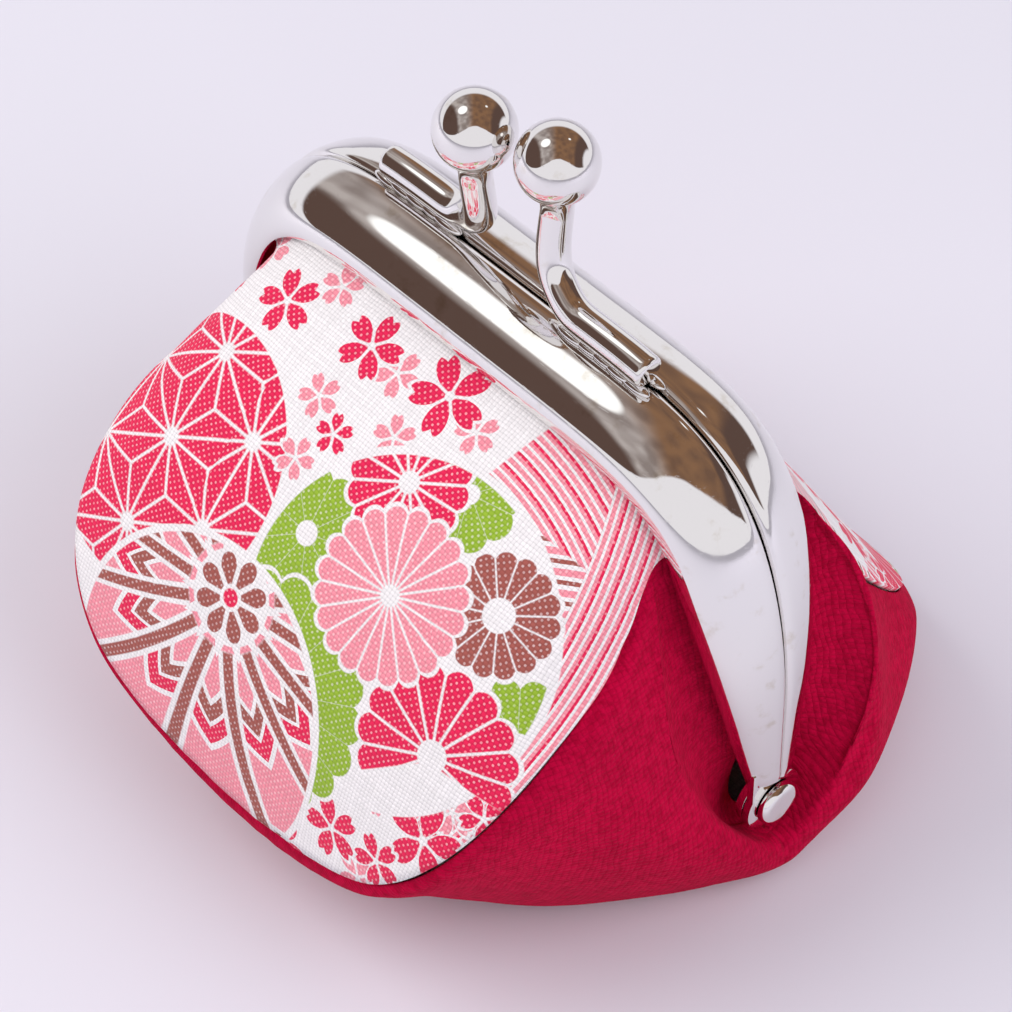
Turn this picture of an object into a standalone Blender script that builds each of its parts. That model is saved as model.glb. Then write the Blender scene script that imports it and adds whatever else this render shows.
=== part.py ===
"""Kiss-lock coin purse: a printed cotton pouch on a hinged metal frame.

Metres, +Z up, -Y is the front. The purse stands on the flat of its bottom, with the middle of
that flat at the origin. The frame stands upright and shut, and both of its halves turn on one
axis along X through the two rivets.
"""

import math
from collections import namedtuple

import bmesh
import bpy
from mathutils import Matrix, Vector

MM = 0.001

# Frame, in its own upright plane
HINGE_HEIGHT = 9.6 * MM
HALF_WIDTH = 30.0 * MM
FRAME_RISE = 38.7 * MM
ARCH_SPRING = 11.8 * MM
ARCH_SIDE_POWER = 5.3
ARCH_TOP_POWER = 2.05
LEG_END = 3.5 * MM

# Section of one half: a sheet folded into a channel that opens inwards
CHANNEL_DEPTH = 6.2 * MM
CHANNEL_FACE = 4.0 * MM
CHANNEL_BACK = 4.9 * MM
SHEET = 0.6 * MM
SEAM_GAP = 0.1 * MM
LEG_TAPER = 0.74
TAPER_START = 29.0 * MM

# Hinge: two flat ears side by side on each rivet
EAR_RADIUS = 2.9 * MM
EAR_THICKNESS = 0.7 * MM
EAR_GAP = 0.08 * MM
OUTER_EAR_FACE = 29.3 * MM
EAR_NECK_TOP = 5.2 * MM
RIVET_RADIUS = 1.0 * MM
RIVET_FIT = 0.06 * MM
RIVET_HEAD_RADIUS = 2.05 * MM
RIVET_HEAD = 0.95 * MM
RIVET_TAIL_RADIUS = 1.6 * MM
RIVET_TAIL = 0.6 * MM

# Clasp: a ball on a bent post that grows out of a rod along the ridge
BALL_RADIUS = 3.25 * MM
BALL_OFFSET_X = 3.3 * MM
BALL_OFFSET_Y = 1.0 * MM
BALL_RISE = 14.0 * MM
POST_RADIUS = 1.35 * MM
NECK_RADIUS = 1.85 * MM
FOOT_START = 7.2 * MM
FOOT_END = 14.8 * MM
FOOT_OFFSET = 0.6 * MM
FOOT_GAP = 0.35 * MM

# Cloth
CLOTH = 0.6 * MM
LINING = 0.5 * MM
LINING_GAP = 0.75 * MM
LINING_TRIM = 1.3 * MM
SEAM_SPLIT = 0.15 * MM
NARROW = 1.2 * MM
PAPER_CORD_RADIUS = 0.72 * MM
PAPER_CORD_END = 16.0 * MM
PANEL_ROUNDING = 2.5
SEAM_ROLL = 1.6 * MM
BASE_HALF_WIDTH = 31.5 * MM

# Each side of the pouch: which way it faces, the panel's half width, the drop at which it is
# reached and how much narrower the panel is in the frame, the profile at the middle, the crest of the gusset's fold beside the leg, from the
# shoulder down, how far the gusset rolls out past the seam and how full it is there, the shape of the flat under that side, and how far
# the gusset flares out over the flat's edge. Points are in millimetres: a profile's stand out from
# the frame's plane and over the hinge, a crest's sideways, out from the frame's plane and over the
# hinge.
Side = namedtuple(
    "Side",
    "way half_width widest narrowing profile puff crest shoulder_roll fullness base_depth base_power flare flare_rise",
)
FRONT_SIDE = Side(
    way=-1,
    half_width=24.4 * MM,
    widest=0.4,
    narrowing=2.8 * MM,
    profile=((6.8, 33.4), (14.5, 29.5), (30.5, 17.0), (32.4, 1.4)),
    puff=1.2 * MM,
    crest=((26.6, 10.2, 17.6), (29.2, 6.6, 4.6)),
    shoulder_roll=1.1 * MM,
    fullness=(1.2, 0.6, -0.3),
    base_depth=24.5 * MM,
    base_power=1.65,
    flare=1.12,
    flare_rise=1.2 * MM,
)
BACK_SIDE = Side(
    way=1,
    half_width=24.0 * MM,
    widest=0.6,
    narrowing=2.4 * MM,
    profile=((6.8, 33.2), (9.0, 23.0), (20.5, 2.0), (28.0, -5.0)),
    puff=2.6 * MM,
    crest=((28.4, 11.0, 17.8), (31.6, 8.2, 4.2)),
    shoulder_roll=2.6 * MM,
    fullness=(5.2, 4.4, 0.5),
    base_depth=26.0 * MM,
    base_power=2.3,
    flare=1.32,
    flare_rise=6.0 * MM,
)

# Where the two crests meet under the hinge, the valley below it, the gusset's free tip, and its
# free edge from the leg's channel down round the ears, in the crests' terms
CREST_END = (31.4, 0.0, -5.6)
VALLEY_FOOT = (34.4, 0.0, -8.7)
GUSSET_TIP = (26.6, 0.0, -3.9)
FREE_RIM = (
    ((27.1, 1.75, 5.9), (27.0, 2.6, 5.7), (26.8, 3.6, 5.5)),
    ((26.1, 1.7, 0.8), (26.3, 2.5, 0.4), (26.8, 3.7, 0.2)),
    ((26.2, 1.4, -2.2), (26.5, 2.2, -2.8), (27.0, 3.1, -3.3)),
)

# How finely the cloth is divided: columns along half a seam, how many of them end on the crest,
# and rows down a panel, across a quarter of the gusset, on its flat and across its fold. Where its edges are
# shorter than NARROW, the cloth is thinner.
COLUMNS = 15
FOLD_COLUMNS = 7
PANEL_ROWS = 6
FLANK_ROWS = 7
FLAT_ROWS = 2
FOLD_ROWS = 3
STRIP_ROWS = 4
STRIP_COLUMNS = 5
SOFTENING_COUNT = 3
VALLEY_SOFT = 8.0 * MM
ARCH_STEPS = 36
AROUND = 16

BRIGHT_NICKEL = (0.82, 0.80, 0.78, 1.0)
PRINTED_COTTON = (0.86, 0.62, 0.64, 1.0)
CRIMSON_COTTON = (0.47, 0.012, 0.055, 1.0)
LINING_COTTON = (0.72, 0.66, 0.60, 1.0)
KRAFT_PAPER = (0.62, 0.48, 0.33, 1.0)


def clear_scene():
    for obj in list(bpy.data.objects):
        bpy.data.objects.remove(obj, do_unlink=True)


def material(name, colour, roughness, metallic=0.0):
    mat = bpy.data.materials.new(name)
    mat.use_nodes = True
    shader = mat.node_tree.nodes["Principled BSDF"]
    shader.inputs["Base Color"].default_value = colour
    shader.inputs["Roughness"].default_value = roughness
    shader.inputs["Metallic"].default_value = metallic
    return mat


def add_object(name, mesh, mat, parent=None):
    obj = bpy.data.objects.new(name, mesh)
    bpy.context.scene.collection.objects.link(obj)
    mesh.materials.append(mat)
    if parent is not None:
        mesh.transform(Matrix.Translation(-parent.location))
        obj.parent = parent
    return obj


def add_pivot(name):
    """Empty on the hinge axis that carries one half of the frame."""
    pivot = bpy.data.objects.new(name, None)
    pivot.location = (0.0, 0.0, HINGE_HEIGHT)
    bpy.context.scene.collection.objects.link(pivot)
    return pivot


def mesh_from_bmesh(name, bm, sharp_degrees=40.0):
    bmesh.ops.recalc_face_normals(bm, faces=bm.faces)
    mesh = bpy.data.meshes.new(name)
    bm.to_mesh(mesh)
    bm.free()
    mesh.shade_smooth()
    mesh.set_sharp_from_angle(angle=math.radians(sharp_degrees))
    return mesh


def lerp(a, b, t):
    return a + (b - a) * t


def smooth_curve(points, per_span=12):
    """Points of a centripetal curve through the given points."""
    pts = [2 * points[0] - points[1], *points, 2 * points[-1] - points[-2]]
    knots = [0.0]
    for a, b in zip(pts, pts[1:]):
        knots.append(knots[-1] + math.sqrt((b - a).length))
    out = []
    for i in range(1, len(pts) - 2):
        k0, k1, k2, k3 = knots[i - 1 : i + 3]
        p0, p1, p2, p3 = pts[i - 1 : i + 3]
        for step in range(per_span):
            t = lerp(k1, k2, step / per_span)
            a1 = p0.lerp(p1, (t - k0) / (k1 - k0))
            a2 = p1.lerp(p2, (t - k1) / (k2 - k1))
            a3 = p2.lerp(p3, (t - k2) / (k3 - k2))
            b1 = a1.lerp(a2, (t - k0) / (k2 - k0))
            b2 = a2.lerp(a3, (t - k1) / (k3 - k1))
            out.append(b1.lerp(b2, (t - k1) / (k2 - k1)))
    out.append(points[-1].copy())
    return out


def even_points(line, count):
    """The line as count points at even steps of its length."""
    lengths = [0.0]
    for a, b in zip(line, line[1:]):
        lengths.append(lengths[-1] + (b - a).length)
    out = []
    i = 0
    for step in range(count):
        want = lengths[-1] * step / (count - 1)
        while i < len(line) - 2 and lengths[i + 1] < want:
            i += 1
        span = max(lengths[i + 1] - lengths[i], 1e-12)
        out.append(line[i].lerp(line[i + 1], min(max((want - lengths[i]) / span, 0.0), 1.0)))
    return out


def bezier(points, t):
    line = list(points)
    while len(line) > 1:
        line = [a.lerp(b, t) for a, b in zip(line, line[1:])]
    return line[0]


# The outline of the frame


def arch_outline(steps):
    """Outline from the right leg's end over the top to the left leg's, as (x, z) points."""
    fine = []
    for i in range(401):
        turn = math.pi * i / 400
        side = math.copysign(abs(math.cos(turn)) ** (2 / ARCH_SIDE_POWER), math.cos(turn))
        rise = abs(math.sin(turn)) ** (2 / ARCH_TOP_POWER)
        fine.append(Vector((HALF_WIDTH * side, lerp(ARCH_SPRING, FRAME_RISE, rise))))
    leg = [Vector((HALF_WIDTH, lerp(LEG_END, ARCH_SPRING, i / 12))) for i in range(12)]
    other = [Vector((-p.x, p.y)) for p in reversed(leg)]
    return even_points(leg + fine + other, steps + 1)


OUTLINE = arch_outline(400)


def arch_frame(part):
    """Point on the outline and the inward direction there, for a part of its length from 0 to 1."""
    place = min(max(part, 0.0), 1.0) * (len(OUTLINE) - 1)
    i = min(int(place), len(OUTLINE) - 2)
    point = OUTLINE[i].lerp(OUTLINE[i + 1], place - i)
    low = OUTLINE[max(i - 3, 0)]
    high = OUTLINE[min(i + 4, len(OUTLINE) - 1)]
    along = (high - low).normalized()
    return point, Vector((-along.y, along.x))


def taper(z):
    """How much of the full section the channel keeps at a height over the hinge."""
    fall = min(max(1 - z / TAPER_START, 0.0), 1.0)
    return 1 - LEG_TAPER * fall**1.5


def section_point(part, inward, outward, way):
    """World point at a place of the section: inward in the frame's plane, outward from the seam."""
    point, normal = arch_frame(part)
    flat = point + normal * inward
    return Vector((flat.x, way * outward, flat.y + HINGE_HEIGHT))


def rim_points(part, way):
    """World points of the places that the cloth passes, at a part of the outline."""
    size = taper(arch_frame(part)[0].y)
    return [section_point(part, *place, way) for place in cloth_places(size)]


def part_at_height(z):
    """The part of the outline at which the right leg passes a height over the hinge."""
    for i, point in enumerate(OUTLINE):
        if point.y >= z:
            return i / (len(OUTLINE) - 1)
    return 0.5


def part_at_side(x):
    """The part of the outline at which the cloth, past the lip, has this x on the right."""
    best = min(range(200), key=lambda i: abs(rim_points(i / 400, 1)[-1].x - x))
    return best / 400


def section_lines(size):
    """Outer and inner line of the folded sheet, as (inward, outward) points from lip to back wall."""
    face = CHANNEL_FACE * size
    depth = CHANNEL_DEPTH * size
    back = CHANNEL_BACK * (0.35 + 0.65 * size)
    outer = [Vector((face + 0.22 * MM, depth - 0.12 * MM))]
    inner = [Vector((face + 0.22 * MM, depth - SHEET + 0.1 * MM))]
    for degrees in (90, 72, 54, 38, 23):
        turn = math.radians(degrees)
        outer.append(Vector((face * (1 - math.cos(turn)), depth * math.sin(turn))))
        reach = face - SHEET
        inner.append(Vector((SHEET + reach * (1 - math.cos(turn)), (depth - SHEET) * math.sin(turn))))
    edge = 0.5 * MM * (0.4 + 0.6 * size)
    outer.append(Vector((0.05 * MM, 2.0 * edge)))
    outer.append(Vector((0.4 * edge, 0.6 * edge + SEAM_GAP)))
    outer.append(Vector((1.3 * edge, SEAM_GAP)))
    outer.append(Vector((back, SEAM_GAP)))
    inner.append(Vector((SHEET + 0.03 * MM, max(2.0 * edge, SHEET + 0.3 * MM))))
    inner.append(Vector((SHEET + 0.1 * MM, SHEET + 0.16 * MM)))
    inner.append(Vector((SHEET + 0.35 * MM, SHEET + SEAM_GAP)))
    inner.append(Vector((back, SHEET + SEAM_GAP)))
    return outer, inner


def channel_mesh(name, way):
    """The folded channel, swept along the outline from one leg's end to the other's."""
    bm = bmesh.new()
    rings = []
    for step in range(ARCH_STEPS + 1):
        point, normal = arch_frame(step / ARCH_STEPS)
        outer, inner = section_lines(taper(point.y))
        ring = []
        for local in outer + inner[::-1]:
            flat = point + normal * local.x
            ring.append(bm.verts.new((flat.x, way * local.y, flat.y + HINGE_HEIGHT)))
        rings.append(ring)
    count = len(rings[0])
    for a, b in zip(rings, rings[1:]):
        for i in range(count):
            j = (i + 1) % count
            bm.faces.new((a[i], a[j], b[j], b[i]))
    for ring in (rings[0], rings[-1]):
        for i in range(count // 2 - 1):
            bm.faces.new((ring[i], ring[i + 1], ring[count - 2 - i], ring[count - 1 - i]))
    return mesh_from_bmesh(name, bm)


def ear_outline(way):
    """Outline of an ear as (y, z) over the hinge: a disc whose own side runs up as a neck."""
    neck = CHANNEL_DEPTH * taper(EAR_NECK_TOP) - SHEET / 2
    points = [(way * neck, EAR_NECK_TOP)]
    first = math.atan2(math.sqrt(EAR_RADIUS**2 - neck**2), neck)
    seam = way * (SEAM_GAP + 0.05 * MM)
    finish = math.atan2(math.sqrt(EAR_RADIUS**2 - seam**2), abs(seam))
    sweep = 2 * math.pi - (finish - first)
    for i in range(25):
        turn = first - sweep * i / 24
        points.append((way * EAR_RADIUS * math.cos(turn), EAR_RADIUS * math.sin(turn)))
    points.append((seam, EAR_NECK_TOP))
    return points


def extruded(name, outline, inner_x, outer_x):
    """A (y, z) outline over the hinge, extruded along X."""
    bm = bmesh.new()
    near = [bm.verts.new((inner_x, y, z + HINGE_HEIGHT)) for y, z in outline]
    face = bm.faces.new(near)
    grown = bmesh.ops.extrude_face_region(bm, geom=[face])
    moved = [v for v in grown["geom"] if isinstance(v, bmesh.types.BMVert)]
    bmesh.ops.translate(bm, verts=moved, vec=(outer_x - inner_x, 0.0, 0.0))
    return mesh_from_bmesh(name, bm)


def round_bar(name, radius, inner_x, outer_x):
    outline = []
    for i in range(AROUND):
        turn = 2 * math.pi * i / AROUND
        outline.append((radius * math.cos(turn), radius * math.sin(turn)))
    return extruded(name, outline, inner_x, outer_x)


def add_guide(name, mesh):
    """A helper solid that a Boolean reads and no render shows."""
    guide = bpy.data.objects.new(name, mesh)
    bpy.context.scene.collection.objects.link(guide)
    guide.hide_render = True
    guide.display_type = "WIRE"
    return guide


def add_boolean(obj, guide, operation):
    cut = obj.modifiers.new(guide.name, "BOOLEAN")
    cut.object = guide
    cut.operation = operation
    cut.solver = "EXACT"


def ear_span(layer):
    """Inner and outer X of an ear, layer 0 outside and layer 1 inside."""
    outer = OUTER_EAR_FACE - layer * (EAR_THICKNESS + EAR_GAP)
    return outer - EAR_THICKNESS, outer


def build_frame_half(name, way, layer, mat, pivot):
    mesh = channel_mesh(name, way)
    obj = bpy.data.objects.new(name, mesh)
    bpy.context.scene.collection.objects.link(obj)
    mesh.materials.append(mat)
    low, high = ear_span(layer)
    for hand, label in ((1, "right"), (-1, "left")):
        ear = extruded(f"{name}_{label}_ear", ear_outline(way), hand * low, hand * high)
        add_boolean(obj, add_guide(f"{name}_{label}_ear", ear), "UNION")
        hole_radius = RIVET_RADIUS + RIVET_FIT
        hole = round_bar(f"{name}_{label}_hole", hole_radius, hand * (low - MM), hand * (high + 0.05 * MM))
        add_boolean(obj, add_guide(f"{name}_{label}_hole", hole), "DIFFERENCE")
    obj.parent = pivot
    obj.matrix_parent_inverse = pivot.matrix_world.inverted()
    return obj


def turned_bar(name, profile, around=AROUND):
    """A solid turned about the hinge axis from (x, radius) points."""
    bm = bmesh.new()
    rings = []
    for x, radius in profile:
        ring = []
        for i in range(around):
            turn = 2 * math.pi * i / around
            y = radius * math.cos(turn)
            ring.append(bm.verts.new((x, y, HINGE_HEIGHT + radius * math.sin(turn))))
        rings.append(ring)
    for a, b in zip(rings, rings[1:]):
        for i in range(around):
            j = (i + 1) % around
            bm.faces.new((a[i], a[j], b[j], b[i]))
    bm.faces.new(rings[0])
    bm.faces.new(rings[-1])
    return mesh_from_bmesh(name, bm)


def build_rivet(name, hand, mat, pivot):
    """Round flat head outside, shank through both ears, and a formed tail inside."""
    tail_face = ear_span(1)[0] - EAR_GAP
    head_face = OUTER_EAR_FACE + EAR_GAP
    head_top = head_face + RIVET_HEAD
    profile = (
        (tail_face - RIVET_TAIL, RIVET_TAIL_RADIUS * 0.7),
        (tail_face - RIVET_TAIL * 0.6, RIVET_TAIL_RADIUS),
        (tail_face, RIVET_TAIL_RADIUS),
        (tail_face, RIVET_RADIUS),
        (head_face, RIVET_RADIUS),
        (head_face, RIVET_HEAD_RADIUS * 0.92),
        (head_face + 0.25 * MM, RIVET_HEAD_RADIUS),
        (head_top - 0.3 * MM, RIVET_HEAD_RADIUS),
        (head_top, RIVET_HEAD_RADIUS - 0.35 * MM),
    )
    mesh = turned_bar(name, [(hand * x, r) for x, r in profile])
    return add_object(name, mesh, mat, pivot)


def tube_mesh(name, line, radii, around):
    """A closed tube along a line of points, with its own radius at each of them."""
    bm = bmesh.new()
    rings = []
    up = Vector((0.0, 1.0, 0.0))
    for i, (point, radius) in enumerate(zip(line, radii)):
        ahead = line[min(i + 1, len(line) - 1)]
        behind = line[max(i - 1, 0)]
        along = (ahead - behind).normalized()
        up = (up - along * up.dot(along)).normalized()
        across = along.cross(up)
        ring = []
        for k in range(around):
            turn = 2 * math.pi * k / around
            ring.append(bm.verts.new(point + (across * math.cos(turn) + up * math.sin(turn)) * radius))
        rings.append(ring)
    for a, b in zip(rings, rings[1:]):
        for k in range(around):
            j = (k + 1) % around
            bm.faces.new((a[k], a[j], b[j], b[k]))
    bm.faces.new(rings[0])
    bm.faces.new(rings[-1])
    return mesh_from_bmesh(name, bm)


def ridge_point(x):
    """Point of the frame's top line at x, over the hinge."""
    best = min(OUTLINE, key=lambda p: abs(p.x - x) if p.y > ARCH_SPRING else 1.0)
    return Vector((x, best.y))


def clasp_line():
    """Middle line and radii of a clasp, from its foot's end to the top of its ball."""
    foot_rise = POST_RADIUS + FOOT_GAP
    ball_z = FRAME_RISE + BALL_RISE
    foot = []
    for i in range(5):
        x = lerp(FOOT_END, FOOT_START, i / 4)
        foot.append(Vector((x, -FOOT_OFFSET, ridge_point(x).y + foot_rise)))
    neck_z = ball_z - BALL_RADIUS - 1.6 * MM
    bend = [
        Vector((FOOT_START - 0.9 * MM, -FOOT_OFFSET, FRAME_RISE + foot_rise + 0.35 * MM)),
        Vector((BALL_OFFSET_X + 0.9 * MM, lerp(-FOOT_OFFSET, BALL_OFFSET_Y, 0.4), FRAME_RISE + 3.4 * MM)),
        Vector((BALL_OFFSET_X + 0.1 * MM, lerp(-FOOT_OFFSET, BALL_OFFSET_Y, 0.7), FRAME_RISE + 5.4 * MM)),
        Vector((BALL_OFFSET_X, BALL_OFFSET_Y, neck_z)),
    ]
    line = foot[:2] + even_points(smooth_curve(foot[2:] + bend), 15)
    radii = [POST_RADIUS] * len(line)
    centre = Vector((BALL_OFFSET_X, BALL_OFFSET_Y, ball_z))
    first = math.acos(NECK_RADIUS / BALL_RADIUS)
    line.append(Vector((centre.x, centre.y, neck_z + 0.9 * MM)))
    radii.append(lerp(POST_RADIUS, NECK_RADIUS, 0.55))
    for i in range(12):
        turn = lerp(-first, math.radians(84.0), i / 11)
        line.append(centre + Vector((0.0, 0.0, BALL_RADIUS * math.sin(turn))))
        radii.append(BALL_RADIUS * math.cos(turn))
    return line, radii


def build_clasp(name, way, mat, pivot):
    """The front clasp as drawn, and the back one turned half round."""
    line, radii = clasp_line()
    placed = [Vector((-way * p.x, -way * p.y, p.z + HINGE_HEIGHT)) for p in line]
    return add_object(name, tube_mesh(name, placed, radii, AROUND), mat, pivot)


def build_paper_cord(name, way, mat, pivot):
    """Twisted paper cord along the channel, against its back wall."""
    start = part_at_height(PAPER_CORD_END)
    line = []
    radii = []
    for i in range(23):
        part = lerp(start, 1 - start, i / 22)
        point, normal = arch_frame(part)
        radius = PAPER_CORD_RADIUS * taper(point.y) ** 1.5
        flat = point + normal * (1.35 * MM + radius)
        outward = SEAM_GAP + SHEET + 0.1 * MM + radius
        line.append(Vector((flat.x, way * outward, flat.y + HINGE_HEIGHT)))
        radii.append(radius)
    return add_object(name, tube_mesh(name, line, radii, 8), mat, pivot)


# The cloth, as columns of points from the frame down to the middle line of the bottom

LAST_HELD = 9.5 * MM
FOLD_HOLLOW = 1.6 * MM
EAR_ROOM = 0.8 * MM
LIP = 0.22 * MM


def cloth_places(size):
    """Places of the section that the cloth passes: deep in, at the mouth, past the lip, round it."""
    face = CHANNEL_FACE * size
    depth = CHANNEL_DEPTH * size
    reach = face - SHEET
    room = depth - SHEET
    return (
        (SHEET + 0.43 * reach, 0.82 * room - 0.25 * MM),
        (SHEET + 0.83 * reach, 0.98 * room - 0.55 * MM),
        (face + LIP + 0.55 * MM, depth - 0.75 * MM),
        (face + LIP + 0.85 * MM, depth + 0.5 * MM),
    )


def over_hinge(values, way):
    x, out, z = (value * MM for value in values)
    return Vector((x, way * out, z + HINGE_HEIGHT))


def panel_point(x, drop, side):
    """Point of a panel at x and at a drop from 0 at the frame to 1 at the bottom seam."""
    out, z = bezier([Vector(p) * MM for p in side.profile], drop)
    lip = rim_points(part_at_side(min(abs(x), HALF_WIDTH * 0.8)), side.way)[-1].z
    top = rim_points(0.5, side.way)[-1].z
    crown = (lip - top) * (1 - drop) ** 2
    puff = side.puff * math.sin(math.pi * drop) * max(1 - (x / side.half_width) ** 2, 0.0)
    return Vector((x, side.way * (out + puff), z + HINGE_HEIGHT + crown + puff * 0.6))


def shoulder_x(side):
    """Half width of a panel where it leaves the frame."""
    return side.half_width - side.narrowing


def panel_seam(side):
    """Right half of a panel's seam, from the shoulder to the bottom, as (point, drop) pairs."""
    shoulder = rim_points(part_at_side(shoulder_x(side)), side.way)[-1]
    line = [shoulder.to_4d()]
    line[0].w = 0.0
    for i in range(1, 12):
        drop = side.widest * i / 12
        x = lerp(shoulder_x(side) - 0.1 * MM, side.half_width, math.sin(math.pi / 2 * i / 12))
        line.append(panel_point(x, drop, side).to_4d())
        line[-1].w = drop
    for i in range(41):
        turn = math.pi / 2 * i / 40
        power = 2 / PANEL_ROUNDING
        x = side.half_width * max(math.cos(turn), 0.0) ** power if i < 40 else 0.0
        drop = lerp(side.widest, 1.0, math.sin(turn) ** power)
        line.append(panel_point(x, drop, side).to_4d())
        line[-1].w = drop
    return [(p.to_3d(), p.w) for p in even_points(line, COLUMNS + 1)]


def panel_columns(side):
    """Columns of a panel's right half: its rim in the channel, and from the lip to the seam."""
    start = part_at_side(shoulder_x(side))
    rims = []
    bodies = []
    for i, (foot, foot_drop) in enumerate(panel_seam(side)):
        rim = rim_points(lerp(start, 0.5, i / COLUMNS), side.way)
        top = rim[-1]
        shift = top - panel_point(top.x, 0.0, side)
        body = [rim[-2], top]
        for row in range(1, PANEL_ROWS):
            share = row / PANEL_ROWS
            point = panel_point(lerp(top.x, foot.x, share), foot_drop * share, side)
            body.append(point + shift * (1 - share) ** 3)
        rims.append(rim[:-1])
        bodies.append(body + [foot])
    bodies[0] = bodies[0][:1] + [bodies[0][1]] * (PANEL_ROWS + 1)
    return rims, bodies


def leg_rim(side):
    """The gusset's edge in a leg's channel, in columns from the shoulder down to its tip."""
    start = part_at_side(shoulder_x(side))
    end = part_at_height(LAST_HELD)
    held = FOLD_COLUMNS - 1 - len(FREE_RIM)
    columns = [rim_points(lerp(start, end, i / held), side.way)[:-1] for i in range(held + 1)]
    columns += [[over_hinge(p, side.way) for p in column] for column in FREE_RIM]
    tip = over_hinge(GUSSET_TIP, side.way)
    columns.append([tip + Vector((x, 0.0, z)) * MM for x, z in ((0, 0), (0.5, -0.25), (1.3, -0.6))])
    return columns


def inner_line(side, crest_end):
    """Line in the frame's plane where the front and back of the gusset meet."""
    foot = over_hinge(VALLEY_FOOT, side.way)
    flat = Vector((BASE_HALF_WIDTH - 2 * MM, 0.0, 0.0))
    line = smooth_curve([crest_end, foot, flat]) + [Vector()]
    return even_points(line, COLUMNS - FOLD_COLUMNS + 1)


def gusset_columns(side):
    """Columns of the gusset's right quarter, from the seam to the crest or the middle line."""
    seam = [point for point, _ in panel_seam(side)]
    above = [column[-2] for column in panel_columns(side)[1]]
    crest = smooth_curve([seam[0]] + [over_hinge(p, side.way) for p in (*side.crest, CREST_END)])
    ends = even_points(crest, FOLD_COLUMNS + 1)
    ends += inner_line(side, ends[-1])[1:]
    columns = []
    for i, (top, end) in enumerate(zip(seam, ends)):
        size = min((end - top).length / (3 * SEAM_ROLL), 1.0)
        rolled = top + (top - above[i]).normalized() * SEAM_ROLL * size if i else top
        shoulder = math.sin(math.pi * min(i / (COLUMNS * 0.6), 1.0))
        rolled += Vector((side.shoulder_roll * shoulder, 0.0, -0.4 * SEAM_ROLL)) * size
        if i <= FOLD_COLUMNS:
            line = fold_side(rolled, end, side)
        else:
            share = (i - FOLD_COLUMNS) / (COLUMNS - FOLD_COLUMNS)
            line = floor_side(rolled, end, share, side)
        columns.append([top] + line)
    return eased(eased(columns))


def eased(columns):
    """The columns with the points of their flanks drawn towards those of the columns beside them."""
    out = [columns[0]]
    for before, here, after in zip(columns, columns[1:], columns[2:]):
        fixed = 1 if len(out) <= FOLD_COLUMNS else FLAT_ROWS + 1
        inner = [(a + b * 2 + c) / 4 for a, b, c in zip(before, here, after)]
        out.append(here[:2] + inner[2:-fixed] + here[-fixed:])
    return out + [columns[-1]]


def fold_side(top, end, side):
    """A nearly straight line from the seam to the crest of the fold, slightly full."""
    full = (end - top).length / (20 * MM)
    x, out, z = (value * MM * full for value in side.fullness)
    middle = (top + end) / 2 + Vector((x, side.way * out, z))
    return even_points([bezier((top, middle, end), i / 12) for i in range(13)], FLANK_ROWS)


def floor_side(top, end, share, side):
    """A line from the seam down to the flat of the bottom and along it to its middle line."""
    turn = share * math.pi / 2
    power = 2 / side.base_power
    x = BASE_HALF_WIDTH * max(math.cos(turn), 0.0) ** power
    y = side.way * side.base_depth * math.sin(turn) ** power
    edge = end.lerp(Vector((x, y, 0.0)), min(share * 2.2, 1.0))
    corner = Vector((edge.x * side.flare, edge.y * side.flare, edge.z + side.flare_rise))
    corner = corner.lerp((top + edge) / 2, 0.1)
    line = [bezier((top, corner, edge), i / 14) for i in range(15)]
    flat = [edge.lerp(end, i / FLAT_ROWS) for i in range(1, FLAT_ROWS + 1)]
    return even_points(line, FLANK_ROWS - FLAT_ROWS) + flat


def fold_columns(side):
    """Columns of the fold between a leg and the crest: the rim, and from it to the crest."""
    crests = [column[-1] for column in gusset_columns(side)[: FOLD_COLUMNS + 1]]
    rims = leg_rim(side)
    bodies = []
    for rim, crest in zip(rims, crests):
        past = rim[-1]
        hollow = (past + crest) / 2 - Vector((FOLD_HOLLOW, 0.0, 0.0))
        inner = [bezier((past, hollow, crest), row / FOLD_ROWS) for row in range(1, FOLD_ROWS)]
        bodies.append([past] + [round_the_ears(p) for p in inner] + [crest])
    bodies[0] = [bodies[0][0]] + [crests[0]] * FOLD_ROWS
    return rims, bodies


def round_the_ears(point):
    """The point, moved straight away from the hinge axis if it is too near the ears."""
    away = Vector((0.0, point.y, point.z - HINGE_HEIGHT))
    room = EAR_RADIUS + EAR_ROOM
    if away.length < room:
        return point + away * (room / max(away.length, 0.1 * MM) - 1)
    return point


def mirrored(columns):
    return [[Vector((-p.x, p.y, p.z)) for p in column] for column in columns]


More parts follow.
